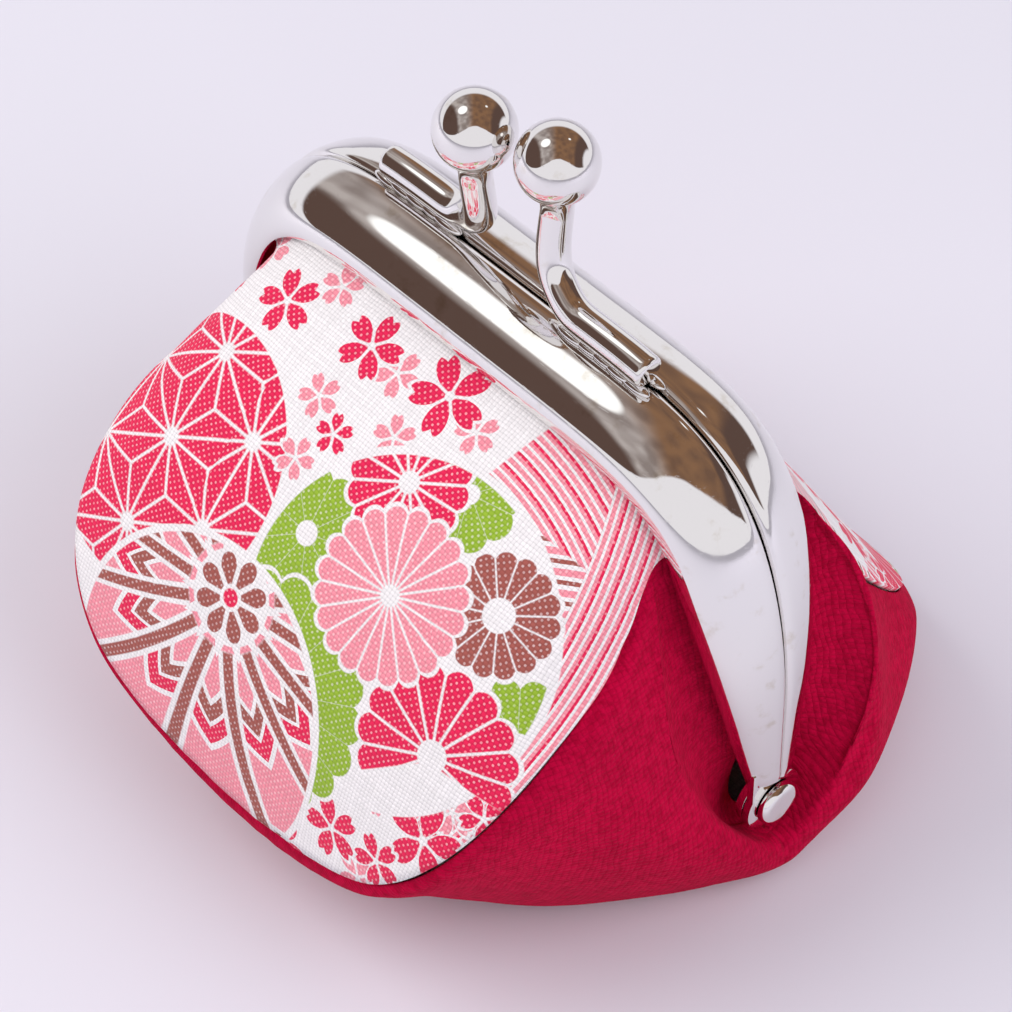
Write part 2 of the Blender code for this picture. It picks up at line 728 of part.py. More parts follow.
class Cloth:
    """Grids of points that share vertices, each with a piece's name, made solid by layers."""

    def __init__(self):
        self.bm = bmesh.new()
        self.tag = self.bm.faces.layers.int.new("piece")

    def add_grid(self, columns, piece, mirror, strip=None):
        """Adds a grid of quads, and its mirror image; mirror 1 keeps the winding, -1 turns it.

        The columns under the shoulder and the rows beside the crest may be tagged as a strip.
        """
        for hand, grid in ((1, columns), (-1, mirrored(columns))):
            verts = [[self.bm.verts.new(p) for p in column] for column in grid]
            for k, (a, b) in enumerate(zip(verts, verts[1:])):
                for i in range(len(a) - 1):
                    ring = [a[i], a[i + 1], b[i + 1], b[i]]
                    if hand * mirror < 0:
                        ring.reverse()
                    face = self.bm.faces.new(ring)
                    beside_crest = k <= FOLD_COLUMNS + 1 and i >= len(a) - 1 - STRIP_ROWS
                    in_strip = beside_crest or k < STRIP_COLUMNS
                    face[self.tag] = strip if strip and in_strip else piece

    def weld(self, soft_depth):
        """Joins the grids, and rounds the valley of the gusset under the hinge."""
        bmesh.ops.remove_doubles(self.bm, verts=self.bm.verts, dist=0.02 * MM)
        bmesh.ops.dissolve_degenerate(self.bm, edges=self.bm.edges, dist=0.005 * MM)
        loose = []
        for vert in self.bm.verts:
            low = 0.01 * MM < vert.co.z < HINGE_HEIGHT - EAR_RADIUS
            valley = abs(vert.co.y) < soft_depth and abs(vert.co.x) > BASE_HALF_WIDTH * 0.8
            if low and valley and all(f[self.tag] in (GUSSET, CREST_STRIP) for f in vert.link_faces):
                loose.append(vert)
        self.soften(loose)

    def relax(self):
        """Rounds every bend of the bag, as its lining takes them, but leaves what the frame holds."""
        held = {FRONT_RIM, BACK_RIM, GUSSET_RIM, GUSSET_FOLD}
        self.soften([v for v in self.bm.verts if not any(f[self.tag] in held for f in v.link_faces)])

    def soften(self, verts):
        for _ in range(SOFTENING_COUNT):
            bmesh.ops.smooth_vert(
                self.bm, verts=verts, factor=0.5, use_axis_x=True, use_axis_y=True, use_axis_z=True
            )
        self.bm.normal_update()

    def solid(self, name, pieces, outer, inner, trim):
        """One closed body between two depths under the cloth's outer surface."""
        faces = [f for f in self.bm.faces if f[self.tag] in pieces]
        used = {v for f in faces for v in f.verts}
        out = bmesh.new()
        top = {}
        low = {}
        for vert in used:
            place = vert.co + self.edge_step(vert, pieces, trim)
            inward = -vert.normal * self.room(vert)
            top[vert] = out.verts.new(place + inward * outer)
            low[vert] = out.verts.new(place + inward * inner)
        for face in faces:
            out.faces.new([top[v] for v in face.verts])
            out.faces.new([low[v] for v in reversed(face.verts)])
        for face in faces:
            for loop in face.loops:
                shared = [f for f in loop.edge.link_faces if f[self.tag] in pieces]
                if len(shared) == 1:
                    a, b = loop.vert, loop.link_loop_next.vert
                    out.faces.new((top[b], top[a], low[a], low[b]))
        return mesh_from_bmesh(name, out, 60.0)

    def room(self, vert):
        """How much of the depths a vertex keeps: less where the grid around it is narrow."""
        shortest = min(edge.calc_length() for edge in vert.link_edges)
        return min(max(shortest / NARROW, 0.3), 1.0)

    def edge_step(self, vert, pieces, trim):
        """A small step into the piece at its edge, so that two pieces don't touch there."""
        inside = [f for f in vert.link_faces if f[self.tag] in pieces]
        if len(inside) == len(vert.link_faces):
            return Vector()
        middle = sum((f.calc_center_median() for f in inside), Vector()) / len(inside)
        step = middle - vert.co
        return step.normalized() * min(trim, step.length * 0.3)


FRONT, BACK, GUSSET = 1, 2, 3
FRONT_RIM, BACK_RIM, GUSSET_RIM, GUSSET_FOLD, CREST_STRIP = 4, 5, 6, 7, 8


def build_cloth():
    cloth = Cloth()
    for side, body, body_rim in ((FRONT_SIDE, FRONT, FRONT_RIM), (BACK_SIDE, BACK, BACK_RIM)):
        rims, columns = panel_columns(side)
        cloth.add_grid(rims, body_rim, side.way)
        cloth.add_grid(columns, body, side.way)
        cloth.add_grid(gusset_columns(side), GUSSET, side.way, CREST_STRIP)
        rims, columns = fold_columns(side)
        cloth.add_grid(rims, GUSSET_RIM, -side.way)
        cloth.add_grid(columns, GUSSET_FOLD, -side.way)
    cloth.weld(VALLEY_SOFT)
    return cloth


def main():
    clear_scene()
    nickel = material("bright_nickel", BRIGHT_NICKEL, 0.08, 1.0)
    printed = material("printed_cotton", PRINTED_COTTON, 0.85)
    crimson = material("crimson_cotton", CRIMSON_COTTON, 0.85)
    plain = material("lining_cotton", LINING_COTTON, 0.9)
    paper = material("kraft_paper", KRAFT_PAPER, 0.9)

    front_half = add_pivot("front_half_axis")
    back_half = add_pivot("back_half_axis")
    bpy.context.view_layer.update()

    build_frame_half("front_frame", -1, 0, nickel, front_half)
    build_frame_half("back_frame", 1, 1, nickel, back_half)
    build_clasp("front_clasp", -1, nickel, front_half)
    build_clasp("back_clasp", 1, nickel, back_half)
    build_rivet("right_rivet", 1, nickel, back_half)
    build_rivet("left_rivet", -1, nickel, back_half)
    build_paper_cord("front_paper_cord", -1, paper, front_half)
    build_paper_cord("back_paper_cord", 1, paper, back_half)

    cloth = build_cloth()
    for name, pieces, mat in (
        ("front_panel", {FRONT, FRONT_RIM}, printed),
        ("back_panel", {BACK, BACK_RIM}, printed),
        ("gusset", {GUSSET, CREST_STRIP, GUSSET_RIM, GUSSET_FOLD}, crimson),
    ):
        add_object(name, cloth.solid(name, pieces, 0.0, CLOTH, SEAM_SPLIT), mat)
    depth = CLOTH + LINING_GAP
    pieces = {FRONT, BACK, GUSSET}
    cloth.relax()
    bag = cloth.solid("lining", pieces, depth, depth + LINING, LINING_TRIM)
    add_object("lining", bag, plain)


main()
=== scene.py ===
import math

import bmesh
import bpy
from mathutils import Matrix, Vector, noise
from mathutils.bvhtree import BVHTree
from mathutils.kdtree import KDTree


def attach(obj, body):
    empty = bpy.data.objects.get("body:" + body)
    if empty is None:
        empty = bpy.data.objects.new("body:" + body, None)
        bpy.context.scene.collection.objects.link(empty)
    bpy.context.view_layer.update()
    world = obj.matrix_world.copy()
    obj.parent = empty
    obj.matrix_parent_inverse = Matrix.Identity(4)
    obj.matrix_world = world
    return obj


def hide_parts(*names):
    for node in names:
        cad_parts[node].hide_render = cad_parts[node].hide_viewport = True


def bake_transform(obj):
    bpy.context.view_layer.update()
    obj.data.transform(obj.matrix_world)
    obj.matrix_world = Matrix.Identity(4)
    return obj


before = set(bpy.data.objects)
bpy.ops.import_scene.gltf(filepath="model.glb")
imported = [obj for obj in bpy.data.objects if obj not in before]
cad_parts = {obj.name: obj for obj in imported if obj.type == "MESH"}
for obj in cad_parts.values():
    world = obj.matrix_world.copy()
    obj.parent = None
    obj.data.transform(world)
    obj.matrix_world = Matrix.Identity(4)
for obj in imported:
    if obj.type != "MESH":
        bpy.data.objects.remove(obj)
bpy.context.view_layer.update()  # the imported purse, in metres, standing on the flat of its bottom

mm = 0.001


def paint(code):
    # a screen colour written as six hex digits, as the linear values that a shader takes
    parts = [int(code[i:i + 2], 16) / 255 for i in (0, 2, 4)]
    return (*[p / 12.92 if p <= 0.04045 else ((p + 0.055) / 1.055) ** 2.4 for p in parts], 1.0)


# camera

cameraValues = {
    "eye": (140.51, -133.69, 259.35),  # mm
    "azimuth": 46.726,  # degrees round the purse from its front
    "elevation": 50.888,
    "roll": -0.647,
    "lens": 134.68,
}


def makeCamera(values):
    turn = math.radians(values["azimuth"])
    lift = math.radians(values["elevation"])
    roll = math.radians(values["roll"])
    level = math.cos(lift)
    back = Vector((math.sin(turn) * level, -math.cos(turn) * level, math.sin(lift)))
    right = Vector((math.cos(turn), math.sin(turn), 0.0))
    up = back.cross(right)
    across = right * math.cos(roll) + up * math.sin(roll)
    upright = up * math.cos(roll) - right * math.sin(roll)
    data = bpy.data.cameras.new("photoCamera")
    data.lens = values["lens"]
    data.clip_start = 0.01
    data.clip_end = 20.0
    camera = bpy.data.objects.new("photoCamera", data)
    facing = Matrix((across, upright, back)).transposed().to_4x4()
    camera.matrix_world = Matrix.Translation(Vector(values["eye"]) * mm) @ facing
    bpy.context.scene.collection.objects.link(camera)
    bpy.context.scene.camera = camera


makeCamera(cameraValues)
print("camera stands")


# node trees


class NodeDesk:
    # adds nodes to one tree, wires them and keeps them apart on the page

    def __init__(self, tree):
        self.tree = tree
        self.count = 0

    def add(self, kind, inputs=None, **settings):
        node = self.tree.nodes.new(kind if kind.startswith("Node") else "ShaderNode" + kind)
        node.location = (190 * (self.count % 16), -260 * (self.count // 16))
        self.count += 1
        for name, value in settings.items():
            setattr(node, name, value)
        for name, value in (inputs or {}).items():
            self.feed(node.inputs[name], value)
        return node

    def feed(self, socket, value):
        if isinstance(value, bpy.types.NodeSocket):
            self.tree.links.new(value, socket)
        elif value is not None:
            socket.default_value = value

    def calc(self, operation, first, second=None, third=None):
        return self.add("Math", {0: first, 1: second, 2: third}, operation=operation).outputs[0]

    def plus(self, first, second):
        return self.calc("ADD", first, second)

    def less(self, first, second):
        return self.calc("SUBTRACT", first, second)

    def times(self, first, second):
        return self.calc("MULTIPLY", first, second)

    def timesPlus(self, first, second, third):
        return self.calc("MULTIPLY_ADD", first, second, third)

    def over(self, first, second):
        return self.calc("DIVIDE", first, second)

    def size(self, value):
        return self.calc("ABSOLUTE", value)

    def fraction(self, value):
        return self.calc("FRACT", value)

    def lower(self, first, second):
        return self.calc("MINIMUM", first, second)

    def higher(self, first, second):
        return self.calc("MAXIMUM", first, second)

    def vector(self, operation, first, second=None, scale=None):
        node = self.add("VectorMath", {0: first, 1: second, 3: scale}, operation=operation)
        single = operation in ("LENGTH", "DOT_PRODUCT", "DISTANCE")
        return node.outputs["Value" if single else "Vector"]

    def step(self, value, low, high):
        # 0 below low, 1 above high, soft between
        ends = {"Value": value, "From Min": low, "From Max": high}
        return self.add("MapRange", ends, clamp=True, interpolation_type="SMOOTHSTEP").outputs[0]

    def rescale(self, value, low, high, fromLow=0.0, fromHigh=1.0):
        ends = {"From Min": fromLow, "From Max": fromHigh, "To Min": low, "To Max": high}
        return self.add("MapRange", {"Value": value, **ends}, clamp=True).outputs[0]

    def blendValue(self, factor, under, over):
        return self.add("Mix", {0: factor, 2: under, 3: over}).outputs[0]

    def blendColour(self, factor, under, over):
        return self.add("Mix", {0: factor, 6: under, 7: over}, data_type="RGBA").outputs[2]

    def bands(self, value, stops):
        # flat bands of colour, each from its own place on
        node = self.add("ValToRGB", {0: value})
        ramp = node.color_ramp
        ramp.interpolation = "CONSTANT"
        for i, (place, colour) in enumerate(stops):
            element = ramp.elements[i] if i < 2 else ramp.elements.new(place)
            element.position = place
            element.color = colour
        return node.outputs[0]

    def noise(self, place, scale, detail=2.0, roughness=0.5, distortion=0.0):
        return self.add("TexNoise", {
            "Vector": place, "Scale": scale, "Detail": detail,
            "Roughness": roughness, "Distortion": distortion,
        }).outputs["Fac"]

    def group(self, tree, inputs):
        return self.add("Group", inputs, node_tree=tree).outputs


def newGroup(name, inputs, outputs):
    # an empty shader group: its desk, its input sockets, and the sockets that take its results
    tree = bpy.data.node_groups.new(name, "ShaderNodeTree")
    for way, labels in (("INPUT", inputs), ("OUTPUT", outputs)):
        for label in labels:
            kind = {"Place": "Vector", "Centre": "Vector", "Star": "Vector", "Colour": "Color"}
            socket = "NodeSocket" + kind.get(label, "Float")
            tree.interface.new_socket(label, in_out=way, socket_type=socket)
    desk = NodeDesk(tree)
    source = desk.add("NodeGroupInput")
    target = desk.add("NodeGroupOutput")
    return tree, desk, source.outputs, target.inputs


def weaveGroup():
    # plain weave: threads a pitch apart each way, over and under by turns
    tree, desk, given, result = newGroup(
        "plainWeave",
        ("Place", "Pitch", "Wander"),
        ("Height", "Crossing", "Shade"),
    )
    cloud = desk.add("TexNoise", {"Vector": given["Place"], "Scale": 0.35, "Detail": 1.0})
    centred = desk.vector("SUBTRACT", cloud.outputs["Color"], (0.5, 0.5, 0.5))
    drift = desk.vector("SCALE", centred, scale=given["Wander"])
    pushed = desk.vector("ADD", given["Place"], drift)
    cells = desk.vector("SCALE", pushed, scale=desk.over(1.0, given["Pitch"]))
    split = desk.add("SeparateXYZ", {"Vector": cells}).outputs
    waveX = desk.calc("SINE", desk.times(split["X"], math.pi))
    waveY = desk.calc("SINE", desk.times(split["Y"], math.pi))
    ridgeX = desk.size(waveX)
    ridgeY = desk.size(waveY)
    over = desk.step(desk.times(waveX, waveY), -0.12, 0.12)
    warp = desk.times(desk.calc("POWER", ridgeX, 0.6), desk.timesPlus(ridgeY, 0.45, 0.55))
    weft = desk.times(desk.calc("POWER", ridgeY, 0.6), desk.timesPlus(ridgeX, 0.45, 0.55))
    desk.feed(result["Height"], desk.blendValue(over, weft, warp))
    dot = desk.times(desk.step(desk.times(ridgeX, ridgeY), 0.35, 0.85), over)
    patchy = desk.step(desk.noise(given["Place"], 0.9, 2.0), 0.3, 0.6)
    desk.feed(result["Crossing"], desk.times(dot, desk.timesPlus(patchy, 0.5, 0.5)))
    columns = desk.calc("FLOOR", split["X"])
    rows = desk.plus(desk.calc("FLOOR", split["Y"]), 371.0)  # far from the columns' numbers
    threadX = desk.add("TexWhiteNoise", {"W": columns}, noise_dimensions="1D").outputs["Value"]
    threadY = desk.add("TexWhiteNoise", {"W": rows}, noise_dimensions="1D").outputs["Value"]
    desk.feed(result["Shade"], desk.blendValue(over, threadY, threadX))
    return tree


def blossomGroup():
    # a flower of equal petals with gaps between them, seen flat; sizes in mm
    tree, desk, given, result = newGroup(
        "printedBlossom",
        ("Place", "Centre", "Radius", "Petals", "Turn", "Gap", "Round", "Notch", "Heart"),
        ("Ink", "Halo"),
    )
    offset = desk.vector("SUBTRACT", given["Place"], given["Centre"])
    reach = desk.vector("LENGTH", offset)
    split = desk.add("SeparateXYZ", {"Vector": offset}).outputs
    angle = desk.plus(desk.calc("ARCTAN2", split["Y"], split["X"]), given["Turn"])
    share = desk.over(desk.times(angle, given["Petals"]), 2 * math.pi)
    side = desk.size(desk.less(desk.fraction(share), 0.5))
    arc = desk.times(reach, desk.over(2 * math.pi, given["Petals"]))
    gapRoom = desk.less(desk.times(desk.less(0.5, side), arc), desk.times(given["Gap"], 0.5))
    fall = desk.times(given["Round"], desk.calc("POWER", desk.times(side, 2.0), 2.4))
    dent = desk.times(given["Notch"], desk.higher(desk.less(1.0, desk.over(side, 0.12)), 0.0))
    tip = desk.times(given["Radius"], desk.less(desk.less(1.0, fall), dent))
    inside = desk.less(tip, reach)
    petal = desk.step(desk.lower(inside, gapRoom), -0.07, 0.07)
    ring = desk.step(desk.less(reach, given["Heart"]), -0.07, 0.07)
    desk.feed(result["Ink"], desk.times(petal, ring))
    desk.feed(result["Halo"], desk.step(inside, -0.45, -0.3))
    return tree


def hempLeafGroup():
    # the old hemp-leaf lattice: a grid of triangles, each with lines from its middle to its corners
    tree, desk, given, result = newGroup(
        "hempLeafLattice",
        ("Place", "Star", "Edge", "Line"),
        ("Lines",),
    )
    offset = desk.vector("SUBTRACT", given["Place"], given["Star"])
    row = desk.times(given["Edge"], math.sqrt(3) / 2)
    half = desk.times(given["Edge"], 0.5)
    nearest = None
    for degrees in (90, 30, 150):
        turn = math.radians(degrees)
        cosine, sine = math.cos(turn), math.sin(turn)
        along = desk.over(desk.vector("DOT_PRODUCT", offset, (cosine, sine, 0.0)), half)
        across = desk.over(desk.vector("DOT_PRODUCT", offset, (-sine, cosine, 0.0)), row)
        toEdge = desk.times(desk.size(desk.less(across, desk.calc("ROUND", across))), row)
        column = desk.calc("ROUND", along)
        toSpoke = desk.times(desk.size(desk.less(along, column)), half)
        phase = desk.times(desk.fraction(desk.times(desk.less(across, column), 0.5)), 2.0)
        missing = desk.calc("LESS_THAN", desk.size(desk.less(phase, 1.0)), 1 / 3)
        toSpoke = desk.timesPlus(missing, 10.0, toSpoke)
        both = desk.lower(toEdge, toSpoke)
        nearest = both if nearest is None else desk.lower(nearest, both)
    room = desk.less(desk.times(given["Line"], 0.5), nearest)
    desk.feed(result["Lines"], desk.step(room, -0.08, 0.08))
    return tree


# the print: old textile motifs on white cotton; places in mm, across and down the panel
printValues = {
    "ground": "F8F3F4",
    "red": "EE2557",
    "pink": "FA97A6",
    "green": "9ABB38",
    "brown": "A95C54",
    "soft": 0.07,  # half the width of a printed edge
    "hempCentre": (-17.3, 19.4), "hempRadius": 11.9, "hempMargin": 0.6,
    "hempStar": (-17.2, 18.3), "hempEdge": 8.2, "hempLine": 0.27, "hempHeart": 0.95,
    # the stars' hearts, in edges from the first one
    "hempHearts": ((0, 0), (0, 1), (0, -1), (0.866, 0.5), (0.866, -0.5)),
    "roundelCentre": (8.9, 18.8), "roundelRadius": 13.5, "roundelMargin": 0.7,
    # centre, radius, petals, turn, gap, roundness, heart, colour, kept inside the roundel
    "roundelFlowers": (
        ((-1.6, 17.0), 5.3, 9, 0.3, 0.0, 0.14, 1.0, "green", True),
        ((8.1, 6.7), 4.5, 9, 0.2, 0.0, 0.16, 0.8, "green", True),
        ((1.8, 29.4), 9.4, 17, 0.1, 0.0, 0.10, 0.0, "green", False),
        ((3.3, 8.9), 5.2, 14, 0.1, 0.24, 0.12, 0.9, "red", True),
        ((22.4, 19.9), 5.2, 12, 0.5, 0.0, 0.16, 1.0, "green", True),
        ((15.8, 12.5), 4.8, 15, 0.2, 0.14, 0.12, 1.35, "brown", False),
        ((17.1, 24.6), 7.0, 15, 0.25, 0.24, 0.12, 1.3, "red", False),
        ((7.4, 16.6), 6.8, 20, 0.1, 0.2, 0.10, 0.85, "pink", False),
    ),
    "ballCentre": (-5.1, 35.0), "ballRadius": 13.1, "ballMargin": 0.6,
    "ballPole": (-4.9, 25.3), "ballRibs": 14, "ballTurn": 0.08, "ballBend": -0.009,
    "crownRadius": 3.6, "crownMargin": 0.3, "crownHeart": 0.75,
    "ribStart": 4.3, "ribHalf": 0.5, "ribMargin": 0.45,
    "chevronLean": 5.4, "chevronSpan": 24.0,
    # where each band of a chevron starts
    "chevrons": (
        (0.0, "ground"), (5.2, "pink"), (9.0, "ground"), (9.6, "brown"), (11.1, "ground"),
        (11.6, "red"), (13.2, "ground"), (13.8, "pink"), (20.6, "ground"), (21.2, "brown"),
        (23.2, "pink"),
    ),
    # centre, radius, turn
    "redBlossoms": (
        ((-15.4, 3.9), 2.9, 0.3), ((-6.7, 2.6), 2.9, 0.9), ((1.4, 1.9), 3.5, 0.5),
        ((-4.5, 9.7), 1.75, 0.1), ((19.4, 31.0), 3.5, 1.0), ((11.3, 36.1), 2.9, 0.2),
        ((23.0, 26.4), 2.1, 0.7), ((16.2, 35.6), 2.4, 0.4), ((-23.5, 4.6), 2.4, 0.2),
        ((6.6, 41.5), 2.8, 0.6),
    ),
    "pinkBlossoms": (
        ((-3.4, 3.0), 2.1, 0.7), ((-0.1, 7.0), 1.9, 0.2), ((-7.6, 8.1), 1.9, 0.5),
        ((-6.1, 13.0), 1.8, 0.9), ((5.2, 2.8), 1.9, 0.4), ((-12.3, 0.4), 1.9, 0.1),
        ((14.3, 30.2), 1.9, 0.6), ((20.6, 27.4), 2.1, 0.3), ((14.9, 38.4), 2.2, 0.8),
        ((-21.4, 1.0), 2.5, 0.5), ((-2.9, 20.8), 1.3, 0.4),
    ),
    "blossomGap": 0.26, "blossomRound": 0.86, "blossomHeart": 0.12,
    "blossomNotch": {"pink": 0.14, "red": 0.17},
    # bands of the ribbons and of the hatching, each from its share of a step on
    "stripes": ((0.0, "red"), (0.17, "ground"), (0.34, "pink"), (0.62, "ground"), (0.78, "pink")),
    "hatching": ((0.0, "brown"), (0.22, "ground"), (0.45, "pink"), (0.8, "ground")),
    "waveCentre": (6.5, 29.0), "waveStep": 1.35, "waveInner": 18.6, "waveSide": 9.3,
    "hatchStep": 1.7, "hatchInner": 17.5, "hatchSide": 13.6, "hatchTop": 5.6,
    "ribbonCentre": (-16.0, 15.6), "ribbonInner": 36.4, "ribbonStep": 1.25, "ribbonEnd": 31.0,
    "ribbonInk": 0.7,
}


def printGroup(values, blossom, hempLeaf):
    tree, desk, given, result = newGroup("blossomPrint", ("Place",), ("Colour", "Ink"))
    place = given["Place"]
    soft = values["soft"]
    inks = {name: paint(values[name]) for name in ("ground", "red", "pink", "green", "brown")}
    sheet = {"colour": inks["ground"], "ink": 0.0}

    def cover(mask, colour, inked=1.0):
        sheet["colour"] = desk.blendColour(mask, sheet["colour"], colour)
        sheet["ink"] = desk.blendValue(mask, sheet["ink"], inked)

    def clear(mask):
        cover(mask, inks["ground"], 0.0)

    def distance(centre):
        return desk.vector("DISTANCE", place, (*centre, 0.0))

    def disc(centre, radius):
        return desk.step(desk.less(radius, distance(centre)), -soft, soft)

    def flower(centre, radius, petals, turn, gap, roundness, notch, heart):
        return desk.group(blossom, {
            "Place": place, "Centre": (*centre, 0.0), "Radius": radius, "Petals": float(petals),
            "Turn": turn, "Gap": gap, "Round": roundness, "Notch": notch, "Heart": heart,
        })

    def striped(reach, step, stripes):
        stops = [(start, inks[name]) for start, name in stripes]
        return desk.bands(desk.fraction(desk.over(reach, step)), stops)

    def beyond(value, edge, width=0.2):
        return desk.step(value, edge, edge + width)

    split = desk.add("SeparateXYZ", {"Vector": place}).outputs
    across, down = split["X"], split["Y"]

    # ribbons on the right: bent bands of red, white and pink
    waveReach = distance(values["waveCentre"])
    rightward = beyond(desk.timesPlus(down, 0.25, across), values["waveSide"])
    waveArea = desk.times(rightward, beyond(waveReach, values["waveInner"]))
    thin = values["ribbonInk"]
    cover(waveArea, striped(waveReach, values["waveStep"], values["stripes"]), thin)
    hatchReach = desk.plus(desk.times(across, 0.55), desk.times(down, 0.95))
    hatchArea = desk.times(beyond(across, values["hatchSide"]), desk.times(
        beyond(down, values["hatchTop"]), beyond(waveReach, values["hatchInner"]),
    ))
    cover(hatchArea, striped(hatchReach, values["hatchStep"], values["hatching"]), thin)
    ribbonReach = distance(values["ribbonCentre"])
    ribbonArea = desk.times(
        beyond(ribbonReach, values["ribbonInner"], 0.15),
        beyond(desk.less(values["ribbonEnd"], down), 0.0, 0.3),
    )
    cover(ribbonArea, striped(ribbonReach, values["ribbonStep"], values["stripes"]), thin)

    # hemp-leaf disc on the left; the hearts of its stars are left white
    clear(disc(values["hempCentre"], values["hempRadius"] + values["hempMargin"]))
    star, edge = values["hempStar"], values["hempEdge"]
    lines = desk.group(hempLeaf, {
        "Place": place, "Star": (*star, 0.0), "Edge": edge, "Line": values["hempLine"],
    })["Lines"]
    leaves = desk.times(disc(values["hempCentre"], values["hempRadius"]), desk.less(1.0, lines))
    cover(leaves, inks["red"])
    for column, row in values["hempHearts"]:
        heart = distance((star[0] + column * edge, star[1] + row * edge))
        clear(desk.step(desk.less(values["hempHeart"], heart), 0.0, 0.35))

    # scattered blossoms
    for colour, notch in values["blossomNotch"].items():
        for centre, radius, turn in values[colour + "Blossoms"]:
            heart = values["blossomHeart"] * radius
            marks = flower(
                centre, radius, 5, turn, values["blossomGap"], values["blossomRound"], notch, heart,
            )
            clear(marks["Halo"])
            cover(marks["Ink"], inks[colour])

    # roundel of flowers
    inRoundel = disc(values["roundelCentre"], values["roundelRadius"])
    clear(disc(values["roundelCentre"], values["roundelRadius"] + values["roundelMargin"]))
    for row in values["roundelFlowers"]:
        centre, radius, petals, turn, gap, roundness, heart, colour, kept = row
        marks = flower(centre, radius, petals, turn, gap, roundness, 0.0, heart)
        halo, ink = marks["Halo"], marks["Ink"]
        if kept:
            halo = desk.times(halo, inRoundel)
            ink = desk.times(ink, inRoundel)
        if colour == "red" and not kept:  # its lower side is left white
            slope = desk.times(desk.higher(desk.less(centre[0], across), 0.0), 0.88)
            upper = desk.step(desk.less(desk.plus(slope, centre[1] + 0.5), down), -0.1, 0.1)
            halo = desk.times(halo, upper)
            ink = desk.times(ink, upper)
        clear(halo)
        cover(ink, inks[colour])

    # thread ball below: ribs from its pole, with chevrons between them
    pole = values["ballPole"]
    inBall = disc(values["ballCentre"], values["ballRadius"])
    clear(disc(values["ballCentre"], values["ballRadius"] + values["ballMargin"]))
    offset = desk.vector("SUBTRACT", place, (*pole, 0.0))
    reach = desk.vector("LENGTH", offset)
    parts = desk.add("SeparateXYZ", {"Vector": offset}).outputs
    angle = desk.calc("ARCTAN2", parts["X"], parts["Y"])
    sway = desk.calc("SINE", desk.times(angle, 2.0))
    bent = desk.timesPlus(sway, desk.times(reach, values["ballBend"]), angle)
    ribShare = values["ballRibs"] / (2 * math.pi)
    share = desk.times(desk.plus(bent, values["ballTurn"]), ribShare)
    side = desk.size(desk.less(desk.fraction(share), 0.5))
    swept = desk.timesPlus(side, values["chevronLean"], reach)
    span = values["chevronSpan"]
    stops = [(start / span, inks[name]) for start, name in values["chevrons"]]
    cover(inBall, desk.bands(desk.over(swept, span), stops))
    toRib = desk.times(desk.less(0.5, side), desk.times(reach, 1 / ribShare))
    ribReach = desk.times(inBall, beyond(reach, values["ribStart"], 0.3))
    for width, colour, inked in (
        (values["ribHalf"] + values["ribMargin"], "ground", 0.0), (values["ribHalf"], "brown", 1.0),
    ):
        rib = desk.step(desk.less(width, toRib), -soft, soft)
        cover(desk.times(ribReach, rib), inks[colour], inked)
    crown = flower(pole, values["crownRadius"], 8, 0.2, 0.45, 0.5, 0.0, 1.1)
    clear(disc(pole, values["crownRadius"] + values["crownMargin"]))
    cover(crown["Ink"], inks["brown"])
    cover(disc(pole, values["crownHeart"]), inks["red"])

    desk.feed(result["Colour"], sheet["colour"])
    desk.feed(result["Ink"], sheet["ink"])
    return tree


def polishGroup():
    # bright plating: faint smears, fine wiping marks and a slow unevenness of the pressed sheet
    tree, desk, given, result = newGroup(
        "wornPolish",
        ("Place", "Smear", "Scratch"),
        ("Roughness", "Height", "Tarnish"),
    )
    cloudy = desk.step(desk.noise(given["Place"], 0.22, 3.0, 0.55), 0.45, 0.75)
    stretched = desk.vector("MULTIPLY", given["Place"], (0.5, 3.0, 9.0))
    hair = desk.step(desk.noise(stretched, 1.1, 2.0, 0.6, 0.6), 0.63, 0.72)
    rough = desk.plus(desk.times(cloudy, given["Smear"]), desk.times(hair, given["Scratch"]))
    desk.feed(result["Roughness"], desk.plus(rough, 0.035))
    slow = desk.noise(given["Place"], 0.16, 1.0, 0.4)
    desk.feed(result["Height"], desk.plus(slow, desk.times(hair, 0.02)))
    desk.feed(result["Tarnish"], desk.step(desk.noise(given["Place"], 0.45, 4.0, 0.6), 0.56, 0.8))
    return tree


weave = weaveGroup()
blossom = blossomGroup()
hempLeaf = hempLeafGroup()
kimonoPrint = printGroup(printValues, blossom, hempLeaf)
polish = polishGroup()
print("shader groups built")


def newMaterial(name, roughness, **settings):
    material = bpy.data.materials.new(name)
    material.use_nodes = True
    material.node_tree.nodes.clear()
    desk = NodeDesk(material.node_tree)
    shader = desk.add("BsdfPrincipled", {"Roughness": roughness})
    for label, value in settings.items():
        shader.inputs[label.replace("_", " ")].default_value = value
    desk.add("OutputMaterial", {"Surface": shader.outputs[0]})
    return material, desk, shader


def setBump(desk, shader, height, strength, distance):
    bump = desk.add("Bump", {"Height": height, "Strength": strength, "Distance": distance})
    desk.feed(shader.inputs["Normal"], bump.outputs["Normal"])


def objectPlace(desk, scale=1000.0):
    # the object's own coordinates, in mm
    place = desk.add("TexCoord").outputs["Object"]
    return desk.vector("SCALE", place, scale=scale)


def clothPlace(desk):
    # the cloth map, in mm
    flat = desk.add("UVMap", uv_map="cloth").outputs["UV"]
    return desk.add("Mapping", {"Vector": flat, "Scale": (100.0, 100.0, 1.0)}).outputs["Vector"]


